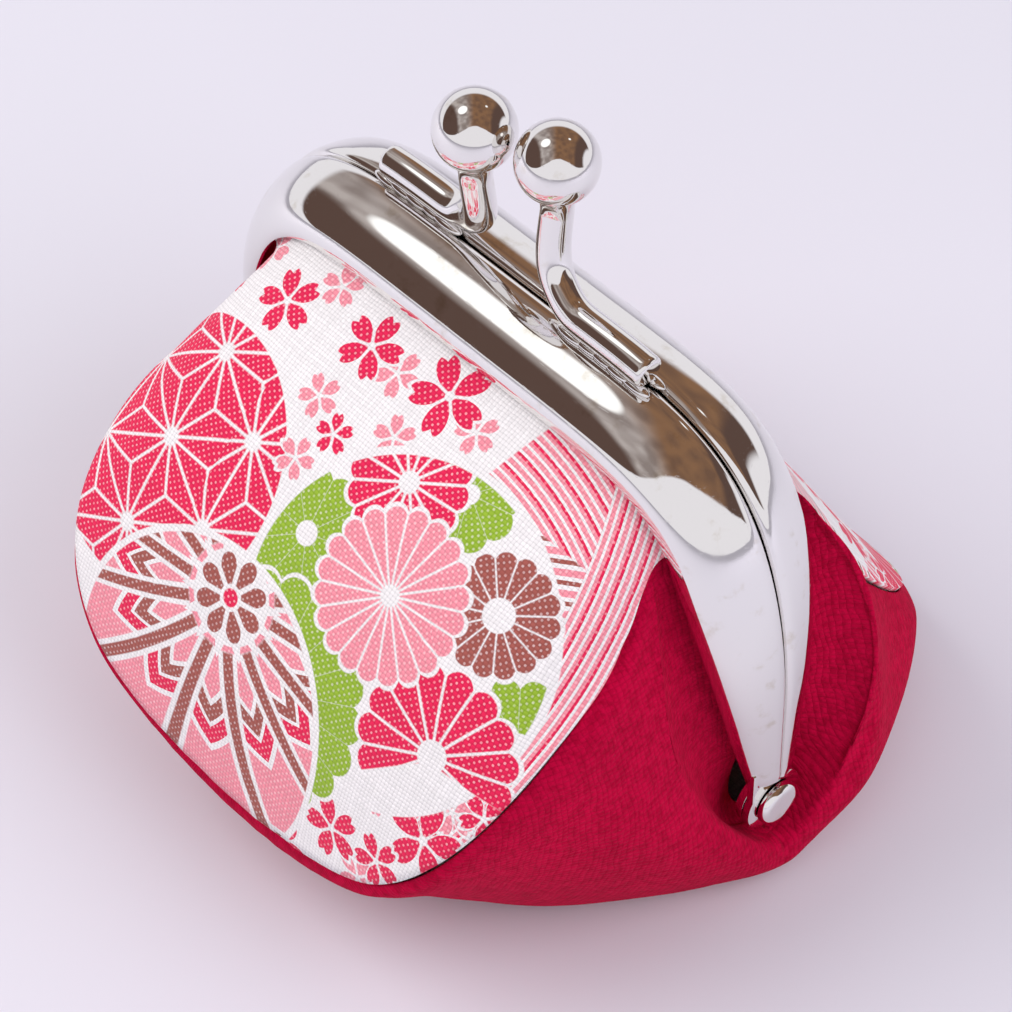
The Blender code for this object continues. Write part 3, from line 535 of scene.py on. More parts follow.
def printedCotton(name, shift, flip):
    material, desk, shader = newMaterial(name, 0.88, Sheen_Weight=0.12, Specular_IOR_Level=0.25)
    place = clothPlace(desk)
    moved = {"Vector": place, "Location": (*shift, 0.0), "Scale": (1.0, flip, 1.0)}
    motifs = desk.add("Mapping", moved).outputs["Vector"]
    printed = desk.group(kimonoPrint, {"Place": motifs})
    threads = desk.group(weave, {"Place": place, "Pitch": 0.33, "Wander": 0.35})
    bare = desk.times(desk.times(threads["Crossing"], printed["Ink"]), 0.42)
    colour = desk.blendColour(bare, printed["Colour"], paint("FFF4F4"))
    shade = desk.rescale(threads["Shade"], 0.93, 1.03)
    # painted shade: the cloth's colour is darkened in the weave's hollows, where the threads dip
    hollowShade = desk.rescale(threads["Height"], 0.76, 1.0, 0.15, 0.6)
    toned = desk.vector("SCALE", colour, scale=desk.times(shade, hollowShade))
    desk.feed(shader.inputs["Base Color"], toned)
    setBump(desk, shader, threads["Height"], 0.55, 0.00012)
    return material


crimsonValues = {
    "deep": "AA0230", "bright": "C2053B", "fleck": "82022A", "sheen": "FF5A80", "pitch": 0.46,
}


def crimsonCotton(values):
    # thick crepe cotton, nearly felted: soft mottling, a loose weave and fine lint
    material, desk, shader = newMaterial(
        "crimsonCrepe", 0.95, Sheen_Weight=0.10, Sheen_Roughness=0.4,
        Sheen_Tint=paint(values["sheen"]), Specular_IOR_Level=0.08,
    )
    place = objectPlace(desk)
    flat = clothPlace(desk)
    threads = desk.group(weave, {"Place": flat, "Pitch": values["pitch"], "Wander": 0.9})
    grain = desk.noise(place, 1.25, 4.0, 0.65)
    fine = desk.noise(place, 4.5, 2.0, 0.6)
    slow = desk.noise(place, 0.12, 2.0, 0.5)
    deep, bright, fleck = (paint(values[name]) for name in ("deep", "bright", "fleck"))
    colour = desk.blendColour(desk.step(grain, 0.35, 0.62), deep, bright)
    colour = desk.blendColour(desk.times(desk.step(fine, 0.56, 0.72), 0.25), colour, fleck)
    colour = desk.vector("SCALE", colour, scale=desk.rescale(slow, 0.93, 1.07, 0.3, 0.7))
    # painted shade: the crepe's colour is darkened in the pits of its weave
    pitShade = desk.rescale(threads["Height"], 0.84, 1.0, 0.1, 0.6)
    desk.feed(shader.inputs["Base Color"], desk.vector("SCALE", colour, scale=pitShade))
    height = desk.plus(threads["Height"], desk.times(desk.plus(grain, fine), 0.45))
    setBump(desk, shader, height, 0.6, 0.00018)
    return material


def liningCotton():
    material, desk, shader = newMaterial("liningCotton", 0.92)
    threads = desk.group(weave, {"Place": clothPlace(desk), "Pitch": 0.3, "Wander": 0.3})
    # painted shade: the lining's colour is darkened in soft blotches that stand for crease shade,
    # and in the weave's hollows
    creaseShade = desk.noise(objectPlace(desk), 0.2, 3.0, 0.5)
    hollowShade = desk.rescale(threads["Height"], 0.85, 1.0, 0.15, 0.7)
    shade = desk.times(hollowShade, desk.rescale(creaseShade, 0.94, 1.02, 0.3, 0.7))
    desk.feed(shader.inputs["Base Color"], desk.vector("SCALE", paint("F0E6DC")[:3], scale=shade))
    setBump(desk, shader, threads["Height"], 0.5, 0.0001)
    return material


def kraftPaper():
    material, desk, shader = newMaterial("kraftPaper", 0.9)
    place = objectPlace(desk)
    fibres = desk.noise(desk.vector("MULTIPLY", place, (2.0, 2.0, 9.0)), 1.0, 3.0, 0.6)
    colour = desk.blendColour(desk.step(fibres, 0.35, 0.7), paint("A98457"), paint("C9A87C"))
    desk.feed(shader.inputs["Base Color"], colour)
    setBump(desk, shader, fibres, 0.5, 0.0001)
    return material


nickelValues = {"bright": "EFEDEB", "warm": "D9D2C6", "smear": 0.05, "scratch": 0.09, "dust": 0.15}
castNickelValues = {**nickelValues, "smear": 0.03, "scratch": 0.03, "dust": 0.2}


def brightNickel(name, values):
    material, desk, shader = newMaterial(name, 0.05, Metallic=1.0)
    place = objectPlace(desk)
    marks = {"Place": place, "Smear": values["smear"], "Scratch": values["scratch"]}
    worn = desk.group(polish, marks)
    colour = desk.blendColour(worn["Tarnish"], paint(values["bright"]), paint(values["warm"]))
    specks = desk.times(desk.step(desk.noise(place, 3.2, 2.0, 0.5), 0.70, 0.76), values["dust"])
    desk.feed(shader.inputs["Base Color"], colour)
    desk.feed(shader.inputs["Roughness"], desk.plus(worn["Roughness"], desk.times(specks, 0.35)))
    setBump(desk, shader, worn["Height"], 0.10, 0.0003)
    return material


frontPrint = printedCotton("printedCottonFront", (0.0, 0.0), 1.0)
backPrint = printedCotton("printedCottonBack", (0.0, 57.0), -1.0)
crimson = crimsonCotton(crimsonValues)
liningCloth = liningCotton()
paper = kraftPaper()
nickel = brightNickel("brightNickel", nickelValues)
castNickel = brightNickel("castNickel", castNickelValues)
print("materials mixed")


# making and finishing meshes


def addPiece(name, bm, material, sharpDegrees=38.0):
    mesh = bpy.data.meshes.new(name)
    bm.to_mesh(mesh)
    bm.free()
    mesh.materials.append(material)
    mesh.shade_smooth()
    mesh.set_sharp_from_angle(angle=math.radians(sharpDegrees))
    piece = bpy.data.objects.new(name, mesh)
    bpy.context.scene.collection.objects.link(piece)
    return piece


def settle(piece):
    # takes the piece's modifiers into its mesh
    shown = piece.evaluated_get(bpy.context.evaluated_depsgraph_get())
    mesh = bpy.data.meshes.new_from_object(shown)
    spent = piece.data
    piece.modifiers.clear()
    piece.data = mesh
    bpy.data.meshes.remove(spent)
    mesh.name = piece.name


def meshOf(piece):
    bm = bmesh.new()
    bm.from_mesh(piece.data)
    return bm


def vertsOf(geometry):
    return [g for g in geometry if isinstance(g, bmesh.types.BMVert)]


def unitCircle(bm, sides):
    return bmesh.ops.create_circle(bm, cap_ends=False, segments=sides, radius=1.0)["verts"]


def sweep(bm, verts, edges, placements):
    # draws an edge line or ring through a row of placements
    bmesh.ops.transform(bm, matrix=placements[0], verts=verts)
    for before, after in zip(placements, placements[1:]):
        grown = bmesh.ops.extrude_edge_only(bm, edges=edges)["geom"]
        verts = vertsOf(grown)
        edges = [g for g in grown if isinstance(g, bmesh.types.BMEdge)]
        bmesh.ops.transform(bm, matrix=after @ before.inverted(), verts=verts)


def lerp(a, b, share):
    return a + (b - a) * share


def evenPoints(line, count):
    lengths = [0.0]
    for a, b in zip(line, line[1:]):
        lengths.append(lengths[-1] + (b - a).length)
    points, i = [], 0
    for step in range(count):
        want = lengths[-1] * step / (count - 1)
        while i < len(line) - 2 and lengths[i + 1] < want:
            i += 1
        span = max(lengths[i + 1] - lengths[i], 1e-12)
        points.append(line[i].lerp(line[i + 1], min(max((want - lengths[i]) / span, 0.0), 1.0)))
    return points


def smoothLine(points, perSpan):
    # a soft line through all the points
    row = [2 * points[0] - points[1], *points, 2 * points[-1] - points[-2]]
    line = []
    for a, b, c, d in zip(row, row[1:], row[2:], row[3:]):
        for i in range(perSpan):
            t = i / perSpan
            square = (2 * a - 5 * b + 4 * c - d) * t**2
            cube = (3 * b - a - 3 * c + d) * t**3
            line.append(0.5 * (2 * b + (c - a) * t + square + cube))
    return line + [points[-1].copy()]


# frame: two halves of sheet folded into a channel, on one hinge

frameValues = {  # mm
    "hinge": 9.6,
    "halfWidth": 30.0, "rise": 38.7, "spring": 11.8, "legEnd": 3.5,
    "sidePower": 5.3, "topPower": 2.05,
    "depth": 6.2, "face": 4.0, "back": 4.9, "sheet": 0.6, "seamGap": 0.1,
    "lipRoll": ((0.34, 0.3), (0.22, 0.08)),  # past the face, and short of the full depth
    "innerFold": ((0.06, 1.25), (0.03, 0.8), (0.1, 0.42), (0.3, 0.2)), "foldFlat": 0.65,
    "edgeSoftness": 0.14,
    "taper": 0.74, "taperStart": 29.0,
    "earRadius": 2.9, "earThickness": 0.7, "earGap": 0.08, "earFace": 29.3, "earSides": 56,
    "earSoftness": 0.2,
    "neckTop": 5.2, "neckFoot": 1.5, "neckInner": 0.15, "neckSpread": 2.4, "neckMargin": 0.3,
    "steps": 150, "linePoints": 401,
}


def archLine(values):
    # the frame's outline from the right leg's end over the top to the left one's, in its own plane
    count, width, spring = values["linePoints"], values["halfWidth"], values["spring"]
    fine = []
    for i in range(count):
        turn = math.pi * i / (count - 1)
        side = math.copysign(abs(math.cos(turn)) ** (2 / values["sidePower"]), math.cos(turn))
        rise = abs(math.sin(turn)) ** (2 / values["topPower"])
        fine.append(Vector((width * side, lerp(spring, values["rise"], rise))))
    leg = [Vector((width, lerp(values["legEnd"], spring, i / 12))) for i in range(12)]
    return evenPoints(leg + fine + [Vector((-p.x, p.y)) for p in reversed(leg)], count)


arch = archLine(frameValues)


def archPoint(part):
    place = min(max(part, 0.0), 1.0) * (len(arch) - 1)
    i = min(int(place), len(arch) - 2)
    along = (arch[min(i + 4, len(arch) - 1)] - arch[max(i - 3, 0)]).normalized()
    return arch[i].lerp(arch[i + 1], place - i), Vector((-along.y, along.x)), along


def sizeAt(z):
    # how much of its full section the channel keeps at a height over the hinge, in mm
    fall = min(max(1 - z / frameValues["taperStart"], 0.0), 1.0)
    return 1 - frameValues["taper"] * fall**1.5


def sectionPlacement(part, way):
    point, inward, along = archPoint(part)
    size = sizeAt(point.y)
    placed = Matrix((
        (inward.x * size, 0.0, along.x, point.x),
        (0.0, way * size, 0.0, 0.0),
        (inward.y * size, 0.0, along.y, point.y + frameValues["hinge"]),
        (0.0, 0.0, 0.0, 1.0),
    ))
    return Matrix.Scale(mm, 4) @ placed


def makeChannel(name, way):
    values = frameValues
    face, depth, gap = values["face"], values["depth"], values["seamGap"]
    bm = bmesh.new()
    section = [(face + past, depth - short) for past, short in values["lipRoll"]]
    for degrees in range(90, 17, -8):
        turn = math.radians(degrees)
        section.append((face * (1 - math.cos(turn)), depth * math.sin(turn)))
    section += [*values["innerFold"], (values["foldFlat"], gap), (values["back"], gap)]
    verts = [bm.verts.new((inward, outward, 0.0)) for inward, outward in section]
    edges = [bm.edges.new(pair) for pair in zip(verts, verts[1:])]
    steps = values["steps"]
    sweep(bm, verts, edges, [sectionPlacement(i / steps, way) for i in range(steps + 1)])
    bm.faces.ensure_lookup_table()
    bm.normal_update()
    highest = max(bm.faces, key=lambda f: f.calc_center_median().z)
    if highest.normal.z < 0:
        bmesh.ops.reverse_faces(bm, faces=bm.faces)
    piece = addPiece(name, bm, nickel)
    wall = piece.modifiers.new("sheet", "SOLIDIFY")
    wall.thickness = values["sheet"] * mm
    wall.offset = -1.0
    wall.use_even_offset = True
    edge = piece.modifiers.new("edges", "BEVEL")
    edge.width = values["edgeSoftness"] * mm
    edge.segments = 2
    edge.limit_method = "ANGLE"
    edge.angle_limit = math.radians(55)
    settle(piece)
    return piece


def makeEar(way, hand, layer):
    # a round flat ear, with a neck up into its leg
    values = frameValues
    outer = values["earFace"] - layer * (values["earThickness"] + values["earGap"])
    inner = outer - values["earThickness"]
    hinge = values["hinge"] * mm
    stand = Matrix.Translation(Vector((inner * hand, 0.0, values["hinge"])) * mm)
    stand = stand @ Matrix.Rotation(math.pi / 2, 4, "Y")
    bm = bmesh.new()
    radius = values["earRadius"] * mm
    bmesh.ops.create_circle(
        bm, cap_ends=True, segments=values["earSides"], radius=radius, matrix=stand,
    )
    neckWidth = (values["depth"] * sizeAt(values["neckTop"]) - values["neckMargin"]) * mm

    def inNeck(point):
        return point.z > hinge + values["neckFoot"] * mm and point.y * way > 0.1 * mm

    upper = [e for e in bm.edges if all(inNeck(v.co) for v in e.verts)]
    for vert in vertsOf(bmesh.ops.extrude_edge_only(bm, edges=upper)["geom"]):
        share = min(abs(vert.co.y) / (values["neckSpread"] * mm), 1.0)
        vert.co.z = hinge + values["neckTop"] * mm
        vert.co.y = way * lerp(values["neckInner"] * mm, neckWidth, share)
    raised = vertsOf(bmesh.ops.extrude_face_region(bm, geom=bm.faces[:])["geom"])
    bmesh.ops.translate(bm, verts=raised, vec=(hand * (outer - inner) * mm, 0.0, 0.0))
    bmesh.ops.recalc_face_normals(bm, faces=bm.faces)
    corners = [e for e in bm.edges if e.calc_face_angle(0.0) > math.radians(60)]
    bmesh.ops.bevel(
        bm, geom=corners, offset=values["earSoftness"] * mm, offset_type="OFFSET", segments=3,
        profile=0.5, affect="EDGES", material=-1, clamp_overlap=True,
    )
    return bm


def makeFrameHalf(name, node, body, way, layer):
    channel = makeChannel(name, way)
    bm = meshOf(channel)
    for hand in (1, -1):
        ear = makeEar(way, hand, layer)
        part = bpy.data.meshes.new("ear")
        ear.to_mesh(part)
        ear.free()
        bm.from_mesh(part)
        bpy.data.meshes.remove(part)
    bm.to_mesh(channel.data)
    bm.free()
    channel.data.shade_smooth()
    channel.data.set_sharp_from_angle(angle=math.radians(38))
    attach(channel, body)
    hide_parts(node)


makeFrameHalf("frontFrameSheet", "front_frame", "front_half", -1, 0)
makeFrameHalf("backFrameSheet", "back_frame", "back_half", 1, 1)
print("frame halves folded")


# rivets, turned about the hinge line

rivetValues = {  # mm
    "shank": 1.0, "head": 2.05, "headHeight": 0.95, "gap": 0.08, "rim": 0.12, "edge": 0.95,
    "crown": ((0.62, 0.0), (0.40, 0.05), (0.22, 0.15), (0.09, 0.30), (0.02, 0.48), (0.0, 0.62)),
    "flat": 0.4,
    "tail": 1.6, "tailHeight": 0.6, "tailGap": 0.03,
    "tailCurve": ((1.0, 0.55), (0.8, 0.85), (0.4, 1.0)),
    "sides": 72,
}


def makeRivet(name, node, hand):
    values = rivetValues
    head, tail, shank, tall = (values[key] for key in ("head", "tail", "shank", "tailHeight"))
    earFace, hinge = frameValues["earFace"], frameValues["hinge"]
    headFace = earFace + values["gap"]
    tailFace = earFace - 2 * frameValues["earThickness"] - 2 * frameValues["earGap"]
    tailTop = tailFace - values["tailGap"]
    top = headFace + values["headHeight"]
    profile = [
        (tailFace - tall, 0.0), *[(tailFace - tall * x, tail * r) for x, r in values["tailCurve"]],
        (tailTop, tail), (tailTop, shank), (headFace, shank),
        (headFace, head * values["edge"]), (headFace + values["rim"], head),
        *[(top - x, head - r) for x, r in values["crown"]],
        (top, head * values["flat"]), (top, 0.0),
    ]
    bm = bmesh.new()
    verts = [bm.verts.new((hand * x * mm, 0.0, (hinge + r) * mm)) for x, r in profile]
    edges = [bm.edges.new(pair) for pair in zip(verts, verts[1:])]
    bmesh.ops.spin(
        bm, geom=verts + edges, cent=(0.0, 0.0, hinge * mm), axis=(1.0, 0.0, 0.0),
        angle=2 * math.pi, steps=values["sides"], use_merge=True,
    )
    bmesh.ops.remove_doubles(bm, verts=bm.verts, dist=1e-6)
    bmesh.ops.recalc_face_normals(bm, faces=bm.faces)
    rivet = addPiece(name, bm, nickel)
    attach(rivet, "back_half")
    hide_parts(node)


makeRivet("rightRivetTurned", "right_rivet", 1)
makeRivet("leftRivetTurned", "left_rivet", -1)
print("rivets turned")


# clasps: a ball on a flared neck and a bent post that ends as a rod soldered along the ridge

claspValues = {  # mm
    "ball": 3.25, "ballX": 3.3, "ballY": 1.0, "ballRise": 14.0, "ballRings": 30,
    "post": 1.35, "neck": 1.85, "waist": 1.3, "neckHeight": 1.6, "neckRings": 8, "flare": 2.2,
    "footStart": 7.2, "footEnd": 14.8, "footY": 0.6, "footGap": 0.35,
    # bends of the post over the foot: along x, the share of the way to the ball's y, and up
    "bends": ((0.9, 0.4, 3.4), (0.1, 0.7, 5.4)), "heel": (0.9, 0.35),
    "footCap": ((0.02, 0.72), (0.12, 0.9), (0.32, 0.985), (0.6, 1.0)),
    "tip": 0.01, "thinning": 18, "linePoints": 64,
    "sides": 48, "easing": 14,
    "drops": 5, "dropInset": (0.8, 0.2), "dropSpread": 0.3, "dropSide": (0.55, 0.25),
    "dropRise": 0.12, "dropSize": (1.3, 0.4, 0.28), "dropSwell": (0.5, 0.2, 0.18),
}


def ridgeHeight(x):
    return min((p for p in arch if p.y > frameValues["spring"]), key=lambda p: abs(p.x - x)).y


def tubePlacements(line, radii, twist=0.0):
    placements = []
    up = Vector((0.0, 1.0, 0.0))
    for i, (point, radius) in enumerate(zip(line, radii)):
        along = (line[min(i + 1, len(line) - 1)] - line[max(i - 1, 0)]).normalized()
        up = (up - along * up.dot(along)).normalized()
        turn = Matrix((along.cross(up) * -1, up, along)).transposed().to_4x4()
        size = Matrix.Diagonal((radius, radius, 1.0, 1.0))
        turn = turn @ Matrix.Rotation(twist * i, 4, "Z")
        placements.append(Matrix.Translation(point) @ turn @ size)
    return placements


def claspLine(values, neckZ):
    # the middle of the foot and the post, with the radius at each point
    rise, footY, start = frameValues["rise"], values["footY"], values["footStart"]
    footRise = values["post"] + values["footGap"]
    foot = []
    for i in range(5):
        x = lerp(values["footEnd"], start, i / 4)
        foot.append(Vector((x, -footY, ridgeHeight(x) + footRise)))
    back, up = values["heel"]
    bends = [Vector((start - back, -footY, rise + footRise + up))]
    for aside, share, up in values["bends"]:
        y = lerp(-footY, values["ballY"], share)
        bends.append(Vector((values["ballX"] + aside, y, rise + up)))
    bends.append(Vector((values["ballX"], values["ballY"], neckZ)))
    line = evenPoints(smoothLine(foot + bends, 8), values["linePoints"])
    for _ in range(values["easing"]):  # eases the bends of the post, and leaves its ends
        triples = zip(line[11:-4], line[12:-3], line[13:-2])
        line[12:-3] = [(a + b * 2 + c) / 4 for a, b, c in triples]
    post = values["post"]
    radii = [post] * len(line)
    for i in range(values["thinning"]):  # the post thins a little towards its waist
        radii[-1 - i] = lerp(values["waist"], post, i / values["thinning"])
    end, ahead = line[0], (line[1] - line[0]).normalized()
    line[:1] = [end] + [end + ahead * step for step, _ in values["footCap"]]
    radii[:1] = [values["tip"]] + [post * size for _, size in values["footCap"]]
    line.sort(key=lambda p: (-p.x, p.z))  # the cap's steps among the line's first points
    return line, radii


def addSolder(bm, values, way):
    # under the rod, a low bead on each side and a few drops along it
    for i in range(values["drops"]):
        early, late = values["dropInset"]
        x = lerp(values["footEnd"] - early, values["footStart"] + late, i / (values["drops"] - 1))
        swell = 0.5 + 0.5 * noise.noise(Vector((x * 1.7, 3.0 * way, 0.0)))
        size = [a + b * swell for a, b in zip(values["dropSize"], values["dropSwell"])]
        for side in (-1, 1):
            y = -values["footY"] + side * (values["dropSide"][0] + values["dropSide"][1] * swell)
            drop = Matrix.Translation((
                x + values["dropSpread"] * side * swell, y, ridgeHeight(x) + values["dropRise"],
            ))
            lump = Matrix.Diagonal((*size, 1.0))
            bmesh.ops.create_icosphere(bm, subdivisions=3, radius=1.0, matrix=drop @ lump)


def makeClasp(name, node, body, way):
    values = claspValues
    ball, neck, waist = values["ball"], values["neck"], values["waist"]
    ballZ = frameValues["rise"] + values["ballRise"]
    neckZ = ballZ - ball - values["neckHeight"]
    line, radii = claspLine(values, neckZ)

    def ring(z, radius):
        line.append(Vector((values["ballX"], values["ballY"], z)))
        radii.append(radius)

    first = math.acos(neck / ball)
    base = ballZ - ball * math.sin(first)
    for i in range(1, values["neckRings"]):  # the neck flares into the ball
        share = i / values["neckRings"]
        ring(lerp(neckZ, base, share), lerp(waist, neck, share ** values["flare"]))
    for i in range(values["ballRings"]):
        turn = lerp(-first, math.pi / 2, i / (values["ballRings"] - 1))
        ring(ballZ + ball * math.sin(turn), max(ball * math.cos(turn), values["tip"]))
    bm = bmesh.new()
    circle = unitCircle(bm, values["sides"])
    sweep(bm, circle, list(bm.edges), tubePlacements(line, radii))
    bmesh.ops.remove_doubles(bm, verts=bm.verts, dist=0.05)
    bmesh.ops.recalc_face_normals(bm, faces=bm.faces)
    addSolder(bm, values, way)
    away = Matrix.Diagonal((-way * mm, -way * mm, mm, 1.0))
    lift = Matrix.Translation((0.0, 0.0, frameValues["hinge"] * mm))
    bmesh.ops.transform(bm, matrix=lift @ away, verts=bm.verts)
    clasp = addPiece(name, bm, castNickel, 50)
    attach(clasp, body)
    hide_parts(node)


makeClasp("frontClaspCast", "front_clasp", "front_half", -1)
makeClasp("backClaspCast", "back_clasp", "back_half", 1)
print("clasps cast")


# twisted paper cords that hold the cloth in the channels

cordValues = {
    "radius": 0.72, "end": 16.0, "inward": 1.35, "clearance": 0.1,  # mm
    "plies": 3, "lobe": 0.07, "turnPerStep": 0.24, "steps": 230, "sides": 18,
}


def makePaperCord(name, node, body, way):
    values = cordValues
    start = next(i for i, p in enumerate(arch) if p.y >= values["end"]) / (len(arch) - 1)
    line, radii = [], []
    for i in range(values["steps"] + 1):
        point, inward, along = archPoint(lerp(start, 1 - start, i / values["steps"]))
        radius = values["radius"] * sizeAt(point.y) ** 1.5
        flat = point + inward * (values["inward"] + radius)
        outward = frameValues["seamGap"] + frameValues["sheet"] + values["clearance"] + radius
        line.append(Vector((flat.x, way * outward, flat.y + frameValues["hinge"])))
        radii.append(radius)
    bm = bmesh.new()
    ring = unitCircle(bm, values["sides"])
    for vert in ring:  # the plies show as lobes
        lobe = values["lobe"] * math.cos(values["plies"] * math.atan2(vert.co.y, vert.co.x))
        vert.co *= 1 - values["lobe"] + lobe
    sweep(bm, ring, list(bm.edges), tubePlacements(line, radii, values["turnPerStep"]))
    bmesh.ops.holes_fill(bm, edges=[e for e in bm.edges if e.is_boundary], sides=0)
    bmesh.ops.recalc_face_normals(bm, faces=bm.faces)
    bmesh.ops.scale(bm, vec=(mm, mm, mm), verts=bm.verts)
    cord = addPiece(name, bm, paper)
    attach(cord, body)
    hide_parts(node)


makePaperCord("frontPaperTwist", "front_paper_cord", "front_half", -1)
makePaperCord("backPaperTwist", "back_paper_cord", "back_half", 1)
print("paper cords twisted")


# cloth: the outer face of each cloth solid, made finer, puckered and given a thickness

clothValues = {
    "panelThickness": 0.5, "gussetThickness": 0.12, "liningThickness": 0.35,  # mm
    "lip": (6.7, 43.2),  # where a panel leaves the frame, out from the middle and up
    "rollStart": 12.0,  # from here outwards a panel's width is measured round its bend
    "seamNear": 0.6,  # edges closer than this share a seam
    "seamPull": 0.16, "seamReach": 0.9, "seamWave": 2.6,
    "tension": 0.05, "tensionReach": 3.5, "tensionStart": 0.7, "tensionWave": 5.2,
    "unevenness": 0.12, "unevenSize": 9.0, "unevenStart": 3.0,
    "bottom": 5.0,  # below this height the cloth is let down to the floor
    "blendFrom": -2.5, "blendLength": 33.0, "blendLean": 0.4,
    "middleHeight": 22.0, "middleRadius": 26.0,  # the gusset goes round the purse's middle
    "foldReach": 3.0,  # cloth with another layer this close behind it keeps still
    # flat sizes in metres
    "panelFlat": (0.0505, 0.047), "gussetFlat": (0.150, 0.037), "liningFlat": (0.090, 0.060),
}


def outerFace(node, seed):
    # floods the solid's faces from the one nearest to seed, and stops at the cut edge of the cloth
    bm = bmesh.new()
    bm.from_mesh(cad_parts[node].data)
    bmesh.ops.remove_doubles(bm, verts=bm.verts, dist=1e-6)
    bm.normal_update()

    def narrow(face):
        return 2 * face.calc_area() / max(e.calc_length() for e in face.edges) < 0.75 * mm

    todo = [min(bm.faces, key=lambda f: (f.calc_center_median() - Vector(seed)).length)]
    kept = set(todo)
    while todo:
        face = todo.pop()
        for edge in face.edges:
            for other in edge.link_faces:
                if other in kept:
                    continue
                turned = face.normal.angle(other.normal, 0.0) > math.radians(55)
                if turned and edge.is_convex and (narrow(face) or narrow(other)):
                    continue
                kept.add(other)
                todo.append(other)
    bmesh.ops.delete(bm, geom=[f for f in bm.faces if f not in kept], context="FACES")
    bmesh.ops.join_triangles(
        bm, faces=bm.faces,
        angle_face_threshold=math.radians(50), angle_shape_threshold=math.radians(60),
    )
    return bm


def finer(bm, name, levels):
    # a smooth and dense version of a coarse sheet
    rough = addPiece(name + "Rough", bm, crimson)
    smooth = rough.modifiers.new("smooth", "SUBSURF")
    smooth.levels = smooth.render_levels = levels
    settle(rough)
    dense = meshOf(rough)
    mesh = rough.data
    bpy.data.objects.remove(rough)
    bpy.data.meshes.remove(mesh)
    dense.normal_update()
    return dense


def edgePoints(bm):
    return [v.co.copy() for v in bm.verts if v.is_boundary]


def treeOf(points):
    tree = KDTree(len(points))
    for i, point in enumerate(points):
        tree.insert(point, i)
    tree.balance()
    return tree


def sharedSeam(first, second, near):
    # the points of the first sheet's edge that lie along the second's
    tree = treeOf(edgePoints(second))
    return treeOf([p for p in edgePoints(first) if tree.find(p)[2] < near])


def roundAngle(point):
    # how far round the purse's middle a point lies, from the bottom
    return math.atan2(point.x, clothValues["middleHeight"] * mm - point.z)


def pucker(bm, seam, sign):
    # sinks the cloth along its seam in small waves, and leaves tight folds as they are
    values = clothValues
    tree = BVHTree.FromBMesh(bm)

    def near(away, reach):
        return math.exp(-((away / reach) ** 2))

    for vert in bm.verts:
        start = vert.co - vert.normal * 0.02 * mm
        folded = tree.ray_cast(start, -vert.normal, values["foldReach"] * mm)[3] is not None
        away = seam.find(vert.co)[2] / mm
        turn = 2 * math.pi * roundAngle(vert.co) * values["middleHeight"]
        drift = 2 * noise.noise(vert.co / (6 * mm))
        wave = 0.65 + 0.35 * math.sin(turn / values["seamWave"] + drift)
        move = sign * values["seamPull"] * near(away, values["seamReach"]) * wave
        tension = values["tension"] * math.sin(turn / values["tensionWave"])
        tension *= near(away, values["tensionReach"]) * (1 - near(away, values["tensionStart"]))
        move += tension
        if not folded:
            uneven = values["unevenness"] * noise.noise(vert.co / (values["unevenSize"] * mm))
            move += uneven * (1 - near(away, values["unevenStart"]))
        vert.co += vert.normal * move * mm


def ground(bm):
    # lets the bottom down to the floor
    lowest = min(v.co.z for v in bm.verts)
    for vert in bm.verts:
        vert.co.z -= lowest * max(1 - vert.co.z / (clothValues["bottom"] * mm), 0.0)


def middleProfile(bm):
    middle = [v.co for v in bm.verts if abs(v.co.x) < 0.02 * mm]
    points = sorted({(round(p.z, 6), round(p.y, 6)) for p in middle}, reverse=True)
    return [Vector((y, z)) for z, y in points]


def placeOnProfile(point, profile):
    # how far down the middle line a point lies, and how far off it
    flat = Vector((point.y, point.z))
    best, run = None, 0.0
    for a, b in zip(profile, profile[1:]):
        step = b - a
        share = min(max((flat - a).dot(step) / max(step.length_squared, 1e-14), 0.0), 1.0)
        off = (a + step * share - flat).length
        if best is None or off < best[1]:
            best = (run + step.length * share, off)
        run += step.length
    return best


def layOut(bm, way):
    # the cloth map, in tenths of a metre: across the piece, and down it from the frame's lip
    layer = bm.loops.layers.uv.new("cloth")
    profile = middleProfile(bm)
    out, up = clothValues["lip"]
    lip = placeOnProfile(Vector((0.0, way * out, up)) * mm, profile)[0]
    start = clothValues["rollStart"] * mm
    for vert in bm.verts:
        down, off = placeOnProfile(vert.co, profile)
        across = abs(vert.co.x)
        if across > start:
            across = start + math.hypot(across - start, off)
        spot = (math.copysign(across, vert.co.x) * 10, (down - lip) * 10)
        for loop in vert.link_loops:
            loop[layer].uv = spot


def layOutRound(bm):
    # the gusset's map: round the purse, and across the strip
    layer = bm.loops.layers.uv.new("cloth")
    for vert in bm.verts:
        around = roundAngle(vert.co) * clothValues["middleRadius"] * mm
        spot = (around * 10, vert.co.y * 10)
        for loop in vert.link_loops:
            loop[layer].uv = spot


def thicken(piece, thickness):
    wall = piece.modifiers.new("cloth", "SOLIDIFY")
    wall.thickness = thickness * mm
    wall.offset = -1.0
    settle(piece)


def follow(piece):
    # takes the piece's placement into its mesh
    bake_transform(piece)


def halfOf(bm, way):
    # the part of a sheet on one side of the frame's plane
    part = bm.copy()
    bmesh.ops.bisect_plane(
        part, geom=part.verts[:] + part.edges[:] + part.faces[:], dist=1e-6,
        plane_co=(0.0, 0.0, 0.0), plane_no=(0.0, -way, 0.0), clear_outer=True,
    )
    return part


def sheetArea(bm):
    return sum(f.calc_area() for f in bm.faces)


frontPanel = finer(outerFace("front_panel", (0.0, -0.035, 0.02)), "frontPanelCloth", 3)
backPanel = finer(outerFace("back_panel", (0.0, 0.04, 0.03)), "backPanelCloth", 3)
gusset = finer(outerFace("gusset", (0.0, 0.0, -0.01)), "gussetCloth", 3)
print("cloth taken off its solids")

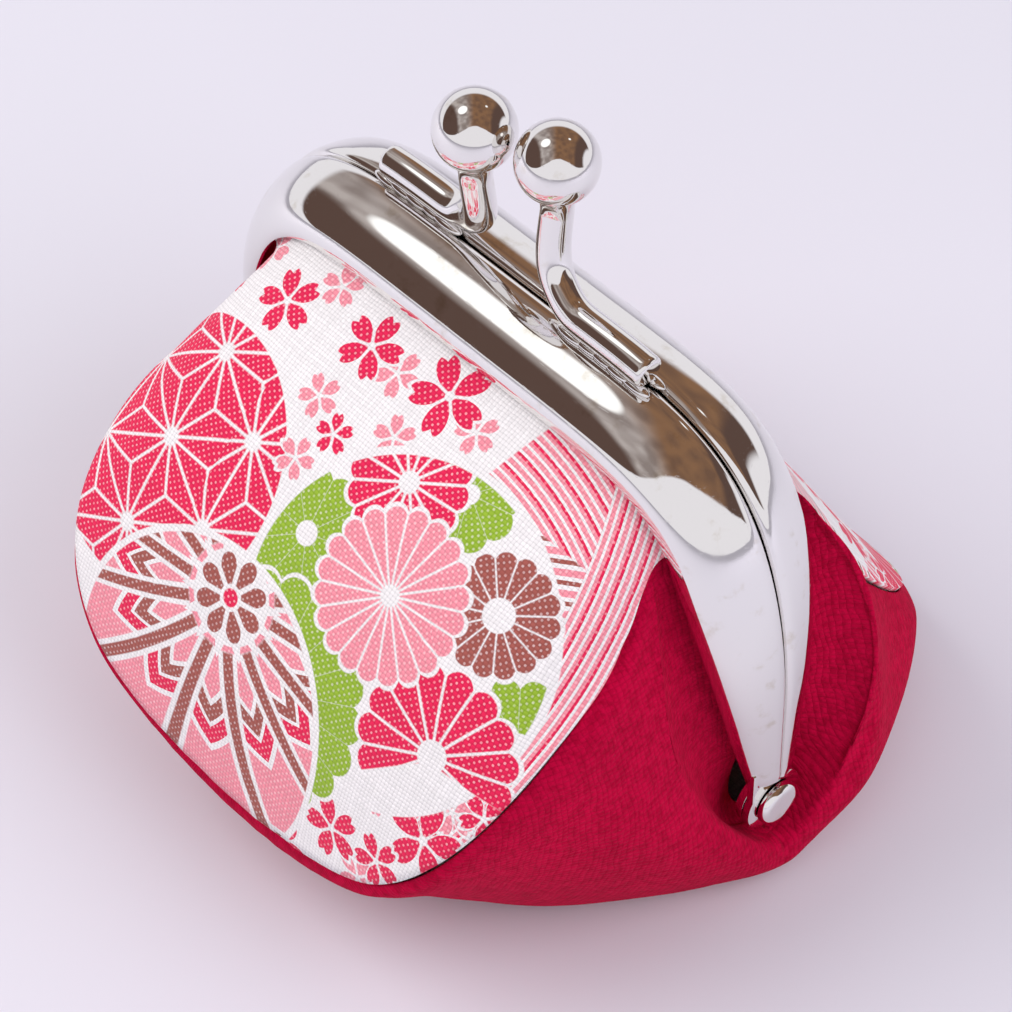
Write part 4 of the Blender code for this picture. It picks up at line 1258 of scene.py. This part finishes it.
layOut(frontPanel, -1)
layOut(backPanel, 1)
layOutRound(gusset)
seamNear = clothValues["seamNear"] * mm
frontSeam = sharedSeam(frontPanel, gusset, seamNear)
backSeam = sharedSeam(backPanel, gusset, seamNear)
sewn = [p for p in edgePoints(gusset) if min(frontSeam.find(p)[2], backSeam.find(p)[2]) < seamNear]
bothSeams = treeOf(sewn)
pucker(frontPanel, frontSeam, -1)
pucker(backPanel, backSeam, -1)
pucker(gusset, bothSeams, 1.6)
ground(gusset)

for bm, name, node, half, way, material in (
    (frontPanel, "frontPanelCloth", "front_panel", "front_half", -1, frontPrint),
    (backPanel, "backPanelCloth", "back_panel", "back_half", 1, backPrint),
):
    area = sheetArea(bm)
    panel = addPiece(name, bm, material, 180)
    thicken(panel, clothValues["panelThickness"])
    follow(panel)
    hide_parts(node)
print("panels sewn")

for name, half, way in (
    ("gussetFrontCloth", "front_half", -1), ("gussetBackCloth", "back_half", 1),
):
    bm = halfOf(gusset, way)
    area = sheetArea(bm)
    strip = addPiece(name, bm, crimson, 180)
    thicken(strip, clothValues["gussetThickness"])
    follow(strip)
    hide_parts("gusset")
gusset.free()
print("gusset sewn")

lining = finer(outerFace("lining", (0.0, 0.0, -0.01)), "liningCloth", 2)
layOutRound(lining)
for name, half, way in (
    ("liningFrontCloth", "front_half", -1), ("liningBackCloth", "back_half", 1),
):
    bm = halfOf(lining, way)
    area = sheetArea(bm)
    bag = addPiece(name, bm, liningCloth, 180)
    thicken(bag, clothValues["liningThickness"])
    follow(bag)
    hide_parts("lining")
lining.free()
print("lining hung")


# floor, light and the room that the metal mirrors

studioValues = {
    "floor": "E1DFE8", "floorShade": "D9D4E2",
    # place, size, power, colour
    "keyLamp": ((-0.28, -0.24, 0.36), 0.40, 1.38, (1.0, 0.99, 0.97)),
    "fillLamp": ((0.38, 0.10, 0.34), 0.50, 1.15, (0.96, 0.95, 1.0)),
    "ambient": 0.675,
    "pale": "F1EFF4", "brown": "8C694F", "darkBrown": "5E4A43", "greyBrown": "BDB4B1",
    # directions of bright spots, as the viewer's right, towards the viewer, and up
    "window": (-0.46, -0.19, 0.87), "windowReach": 0.22,
    "lampSpot": (0.45, -0.35, 0.82), "lampSpotReach": 0.07, "glow": (1.25, 1.25, 1.25, 1.0),
}


def makeFloor(values):
    bm = bmesh.new()
    bmesh.ops.create_grid(bm, x_segments=2, y_segments=2, size=3.0)
    material, desk, shader = newMaterial("paleFloor", 0.9, Specular_IOR_Level=0.1)
    cloudy = desk.noise(objectPlace(desk, 1.0), 9.0, 2.0)
    plain, shade = paint(values["floor"]), paint(values["floorShade"])
    colour = desk.blendColour(desk.rescale(cloudy, 0.0, 0.25), plain, shade)
    desk.feed(shader.inputs["Base Color"], colour)
    floor = addPiece("paleFloor", bm, material)


def makeLamp(name, place, size, power, colour):
    data = bpy.data.lights.new(name, "AREA")
    data.shape = "DISK"
    data.size = size
    data.energy = power
    data.color = colour
    lamp = bpy.data.objects.new(name, data)
    aim = (Vector(place) - Vector((0.0, 0.0, 0.02))).to_track_quat("Z", "Y")
    lamp.matrix_world = Matrix.Translation(place) @ aim.to_matrix().to_4x4()
    lamp.visible_glossy = False  # the metal mirrors the room instead
    bpy.context.scene.collection.objects.link(lamp)


def roomDirection(side, toward, rise):
    turn = math.radians(cameraValues["azimuth"])
    across = Vector((math.cos(turn), math.sin(turn), 0.0))
    ahead = Vector((math.sin(turn), -math.cos(turn), 0.0))
    return (across * side + ahead * toward + Vector((0.0, 0.0, rise))).normalized()


def makeRoom(values):
    # even pale light for cloth and floor; the metal mirrors a pale room with a brown ceiling
    world = bpy.data.worlds.new("paleRoom")
    world.use_nodes = True
    world.node_tree.nodes.clear()
    desk = NodeDesk(world.node_tree)
    look = desk.add("TexCoord").outputs["Generated"]
    turn = math.radians(cameraValues["azimuth"])
    side = desk.vector("DOT_PRODUCT", look, (math.cos(turn), math.sin(turn), 0.0))
    toward = desk.vector("DOT_PRODUCT", look, (math.sin(turn), -math.cos(turn), 0.0))
    rise = desk.add("SeparateXYZ", {"Vector": look}).outputs["Z"]
    over = desk.calc("ARCTAN2", rise, toward)  # 0 level with the viewer, a quarter turn overhead
    uneven = desk.times(desk.less(desk.noise(look, 2.3, 2.0), 0.5), 0.10)
    lowEdge = desk.timesPlus(desk.times(side, side), -0.78, 0.90)
    aboveEdge = desk.plus(desk.less(over, lowEdge), uneven)
    farSide = desk.step(desk.less(2.72, over), 0.0, 0.14)
    band = desk.times(desk.step(aboveEdge, 0.0, 0.05), farSide)
    dark = desk.times(band, desk.step(desk.less(0.95, side), 0.0, 0.05))
    streaks = desk.noise(desk.vector("MULTIPLY", look, (4.0, 4.0, 1.0)), 1.3, 1.0, 0.4)
    leftward = desk.step(side, -0.42, 0.0)
    darkBrown = paint(values["darkBrown"])
    depth = desk.blendColour(leftward, paint(values["greyBrown"]), paint(values["brown"]))
    depth = desk.blendColour(desk.step(desk.size(side), 0.62, 0.74), depth, darkBrown)
    depth = desk.blendColour(desk.rescale(streaks, 0.0, 0.55, 0.35, 0.65), depth, darkBrown)
    room = desk.blendColour(dark, paint(values["pale"]), depth)
    glows = []
    for spot in ("window", "lampSpot"):
        away = desk.vector("DISTANCE", look, roomDirection(*values[spot]))
        glows.append(desk.step(desk.less(values[spot + "Reach"], away), 0.0, 0.05))
    room = desk.blendColour(desk.higher(*glows), room, values["glow"])
    path = desk.add("LightPath").outputs
    mirrored = desk.add("Background", {"Color": room, "Strength": 1.0})
    plain = desk.add("Background", {"Color": paint(values["pale"]), "Strength": values["ambient"]})
    seen = desk.add("Background", {"Color": paint(values["floor"]), "Strength": 1.0})
    lit = desk.add("MixShader", {
        0: path["Is Glossy Ray"], 1: plain.outputs[0], 2: mirrored.outputs[0],
    })
    whole = desk.add("MixShader", {0: path["Is Camera Ray"], 1: lit.outputs[0], 2: seen.outputs[0]})
    desk.add("OutputWorld", {"Surface": whole.outputs[0]})
    bpy.context.scene.world = world


makeFloor(studioValues)
for lampName in ("keyLamp", "fillLamp"):
    makeLamp(lampName, *studioValues[lampName])
makeRoom(studioValues)
bpy.context.scene.view_settings.view_transform = "Standard"
print("studio lit")
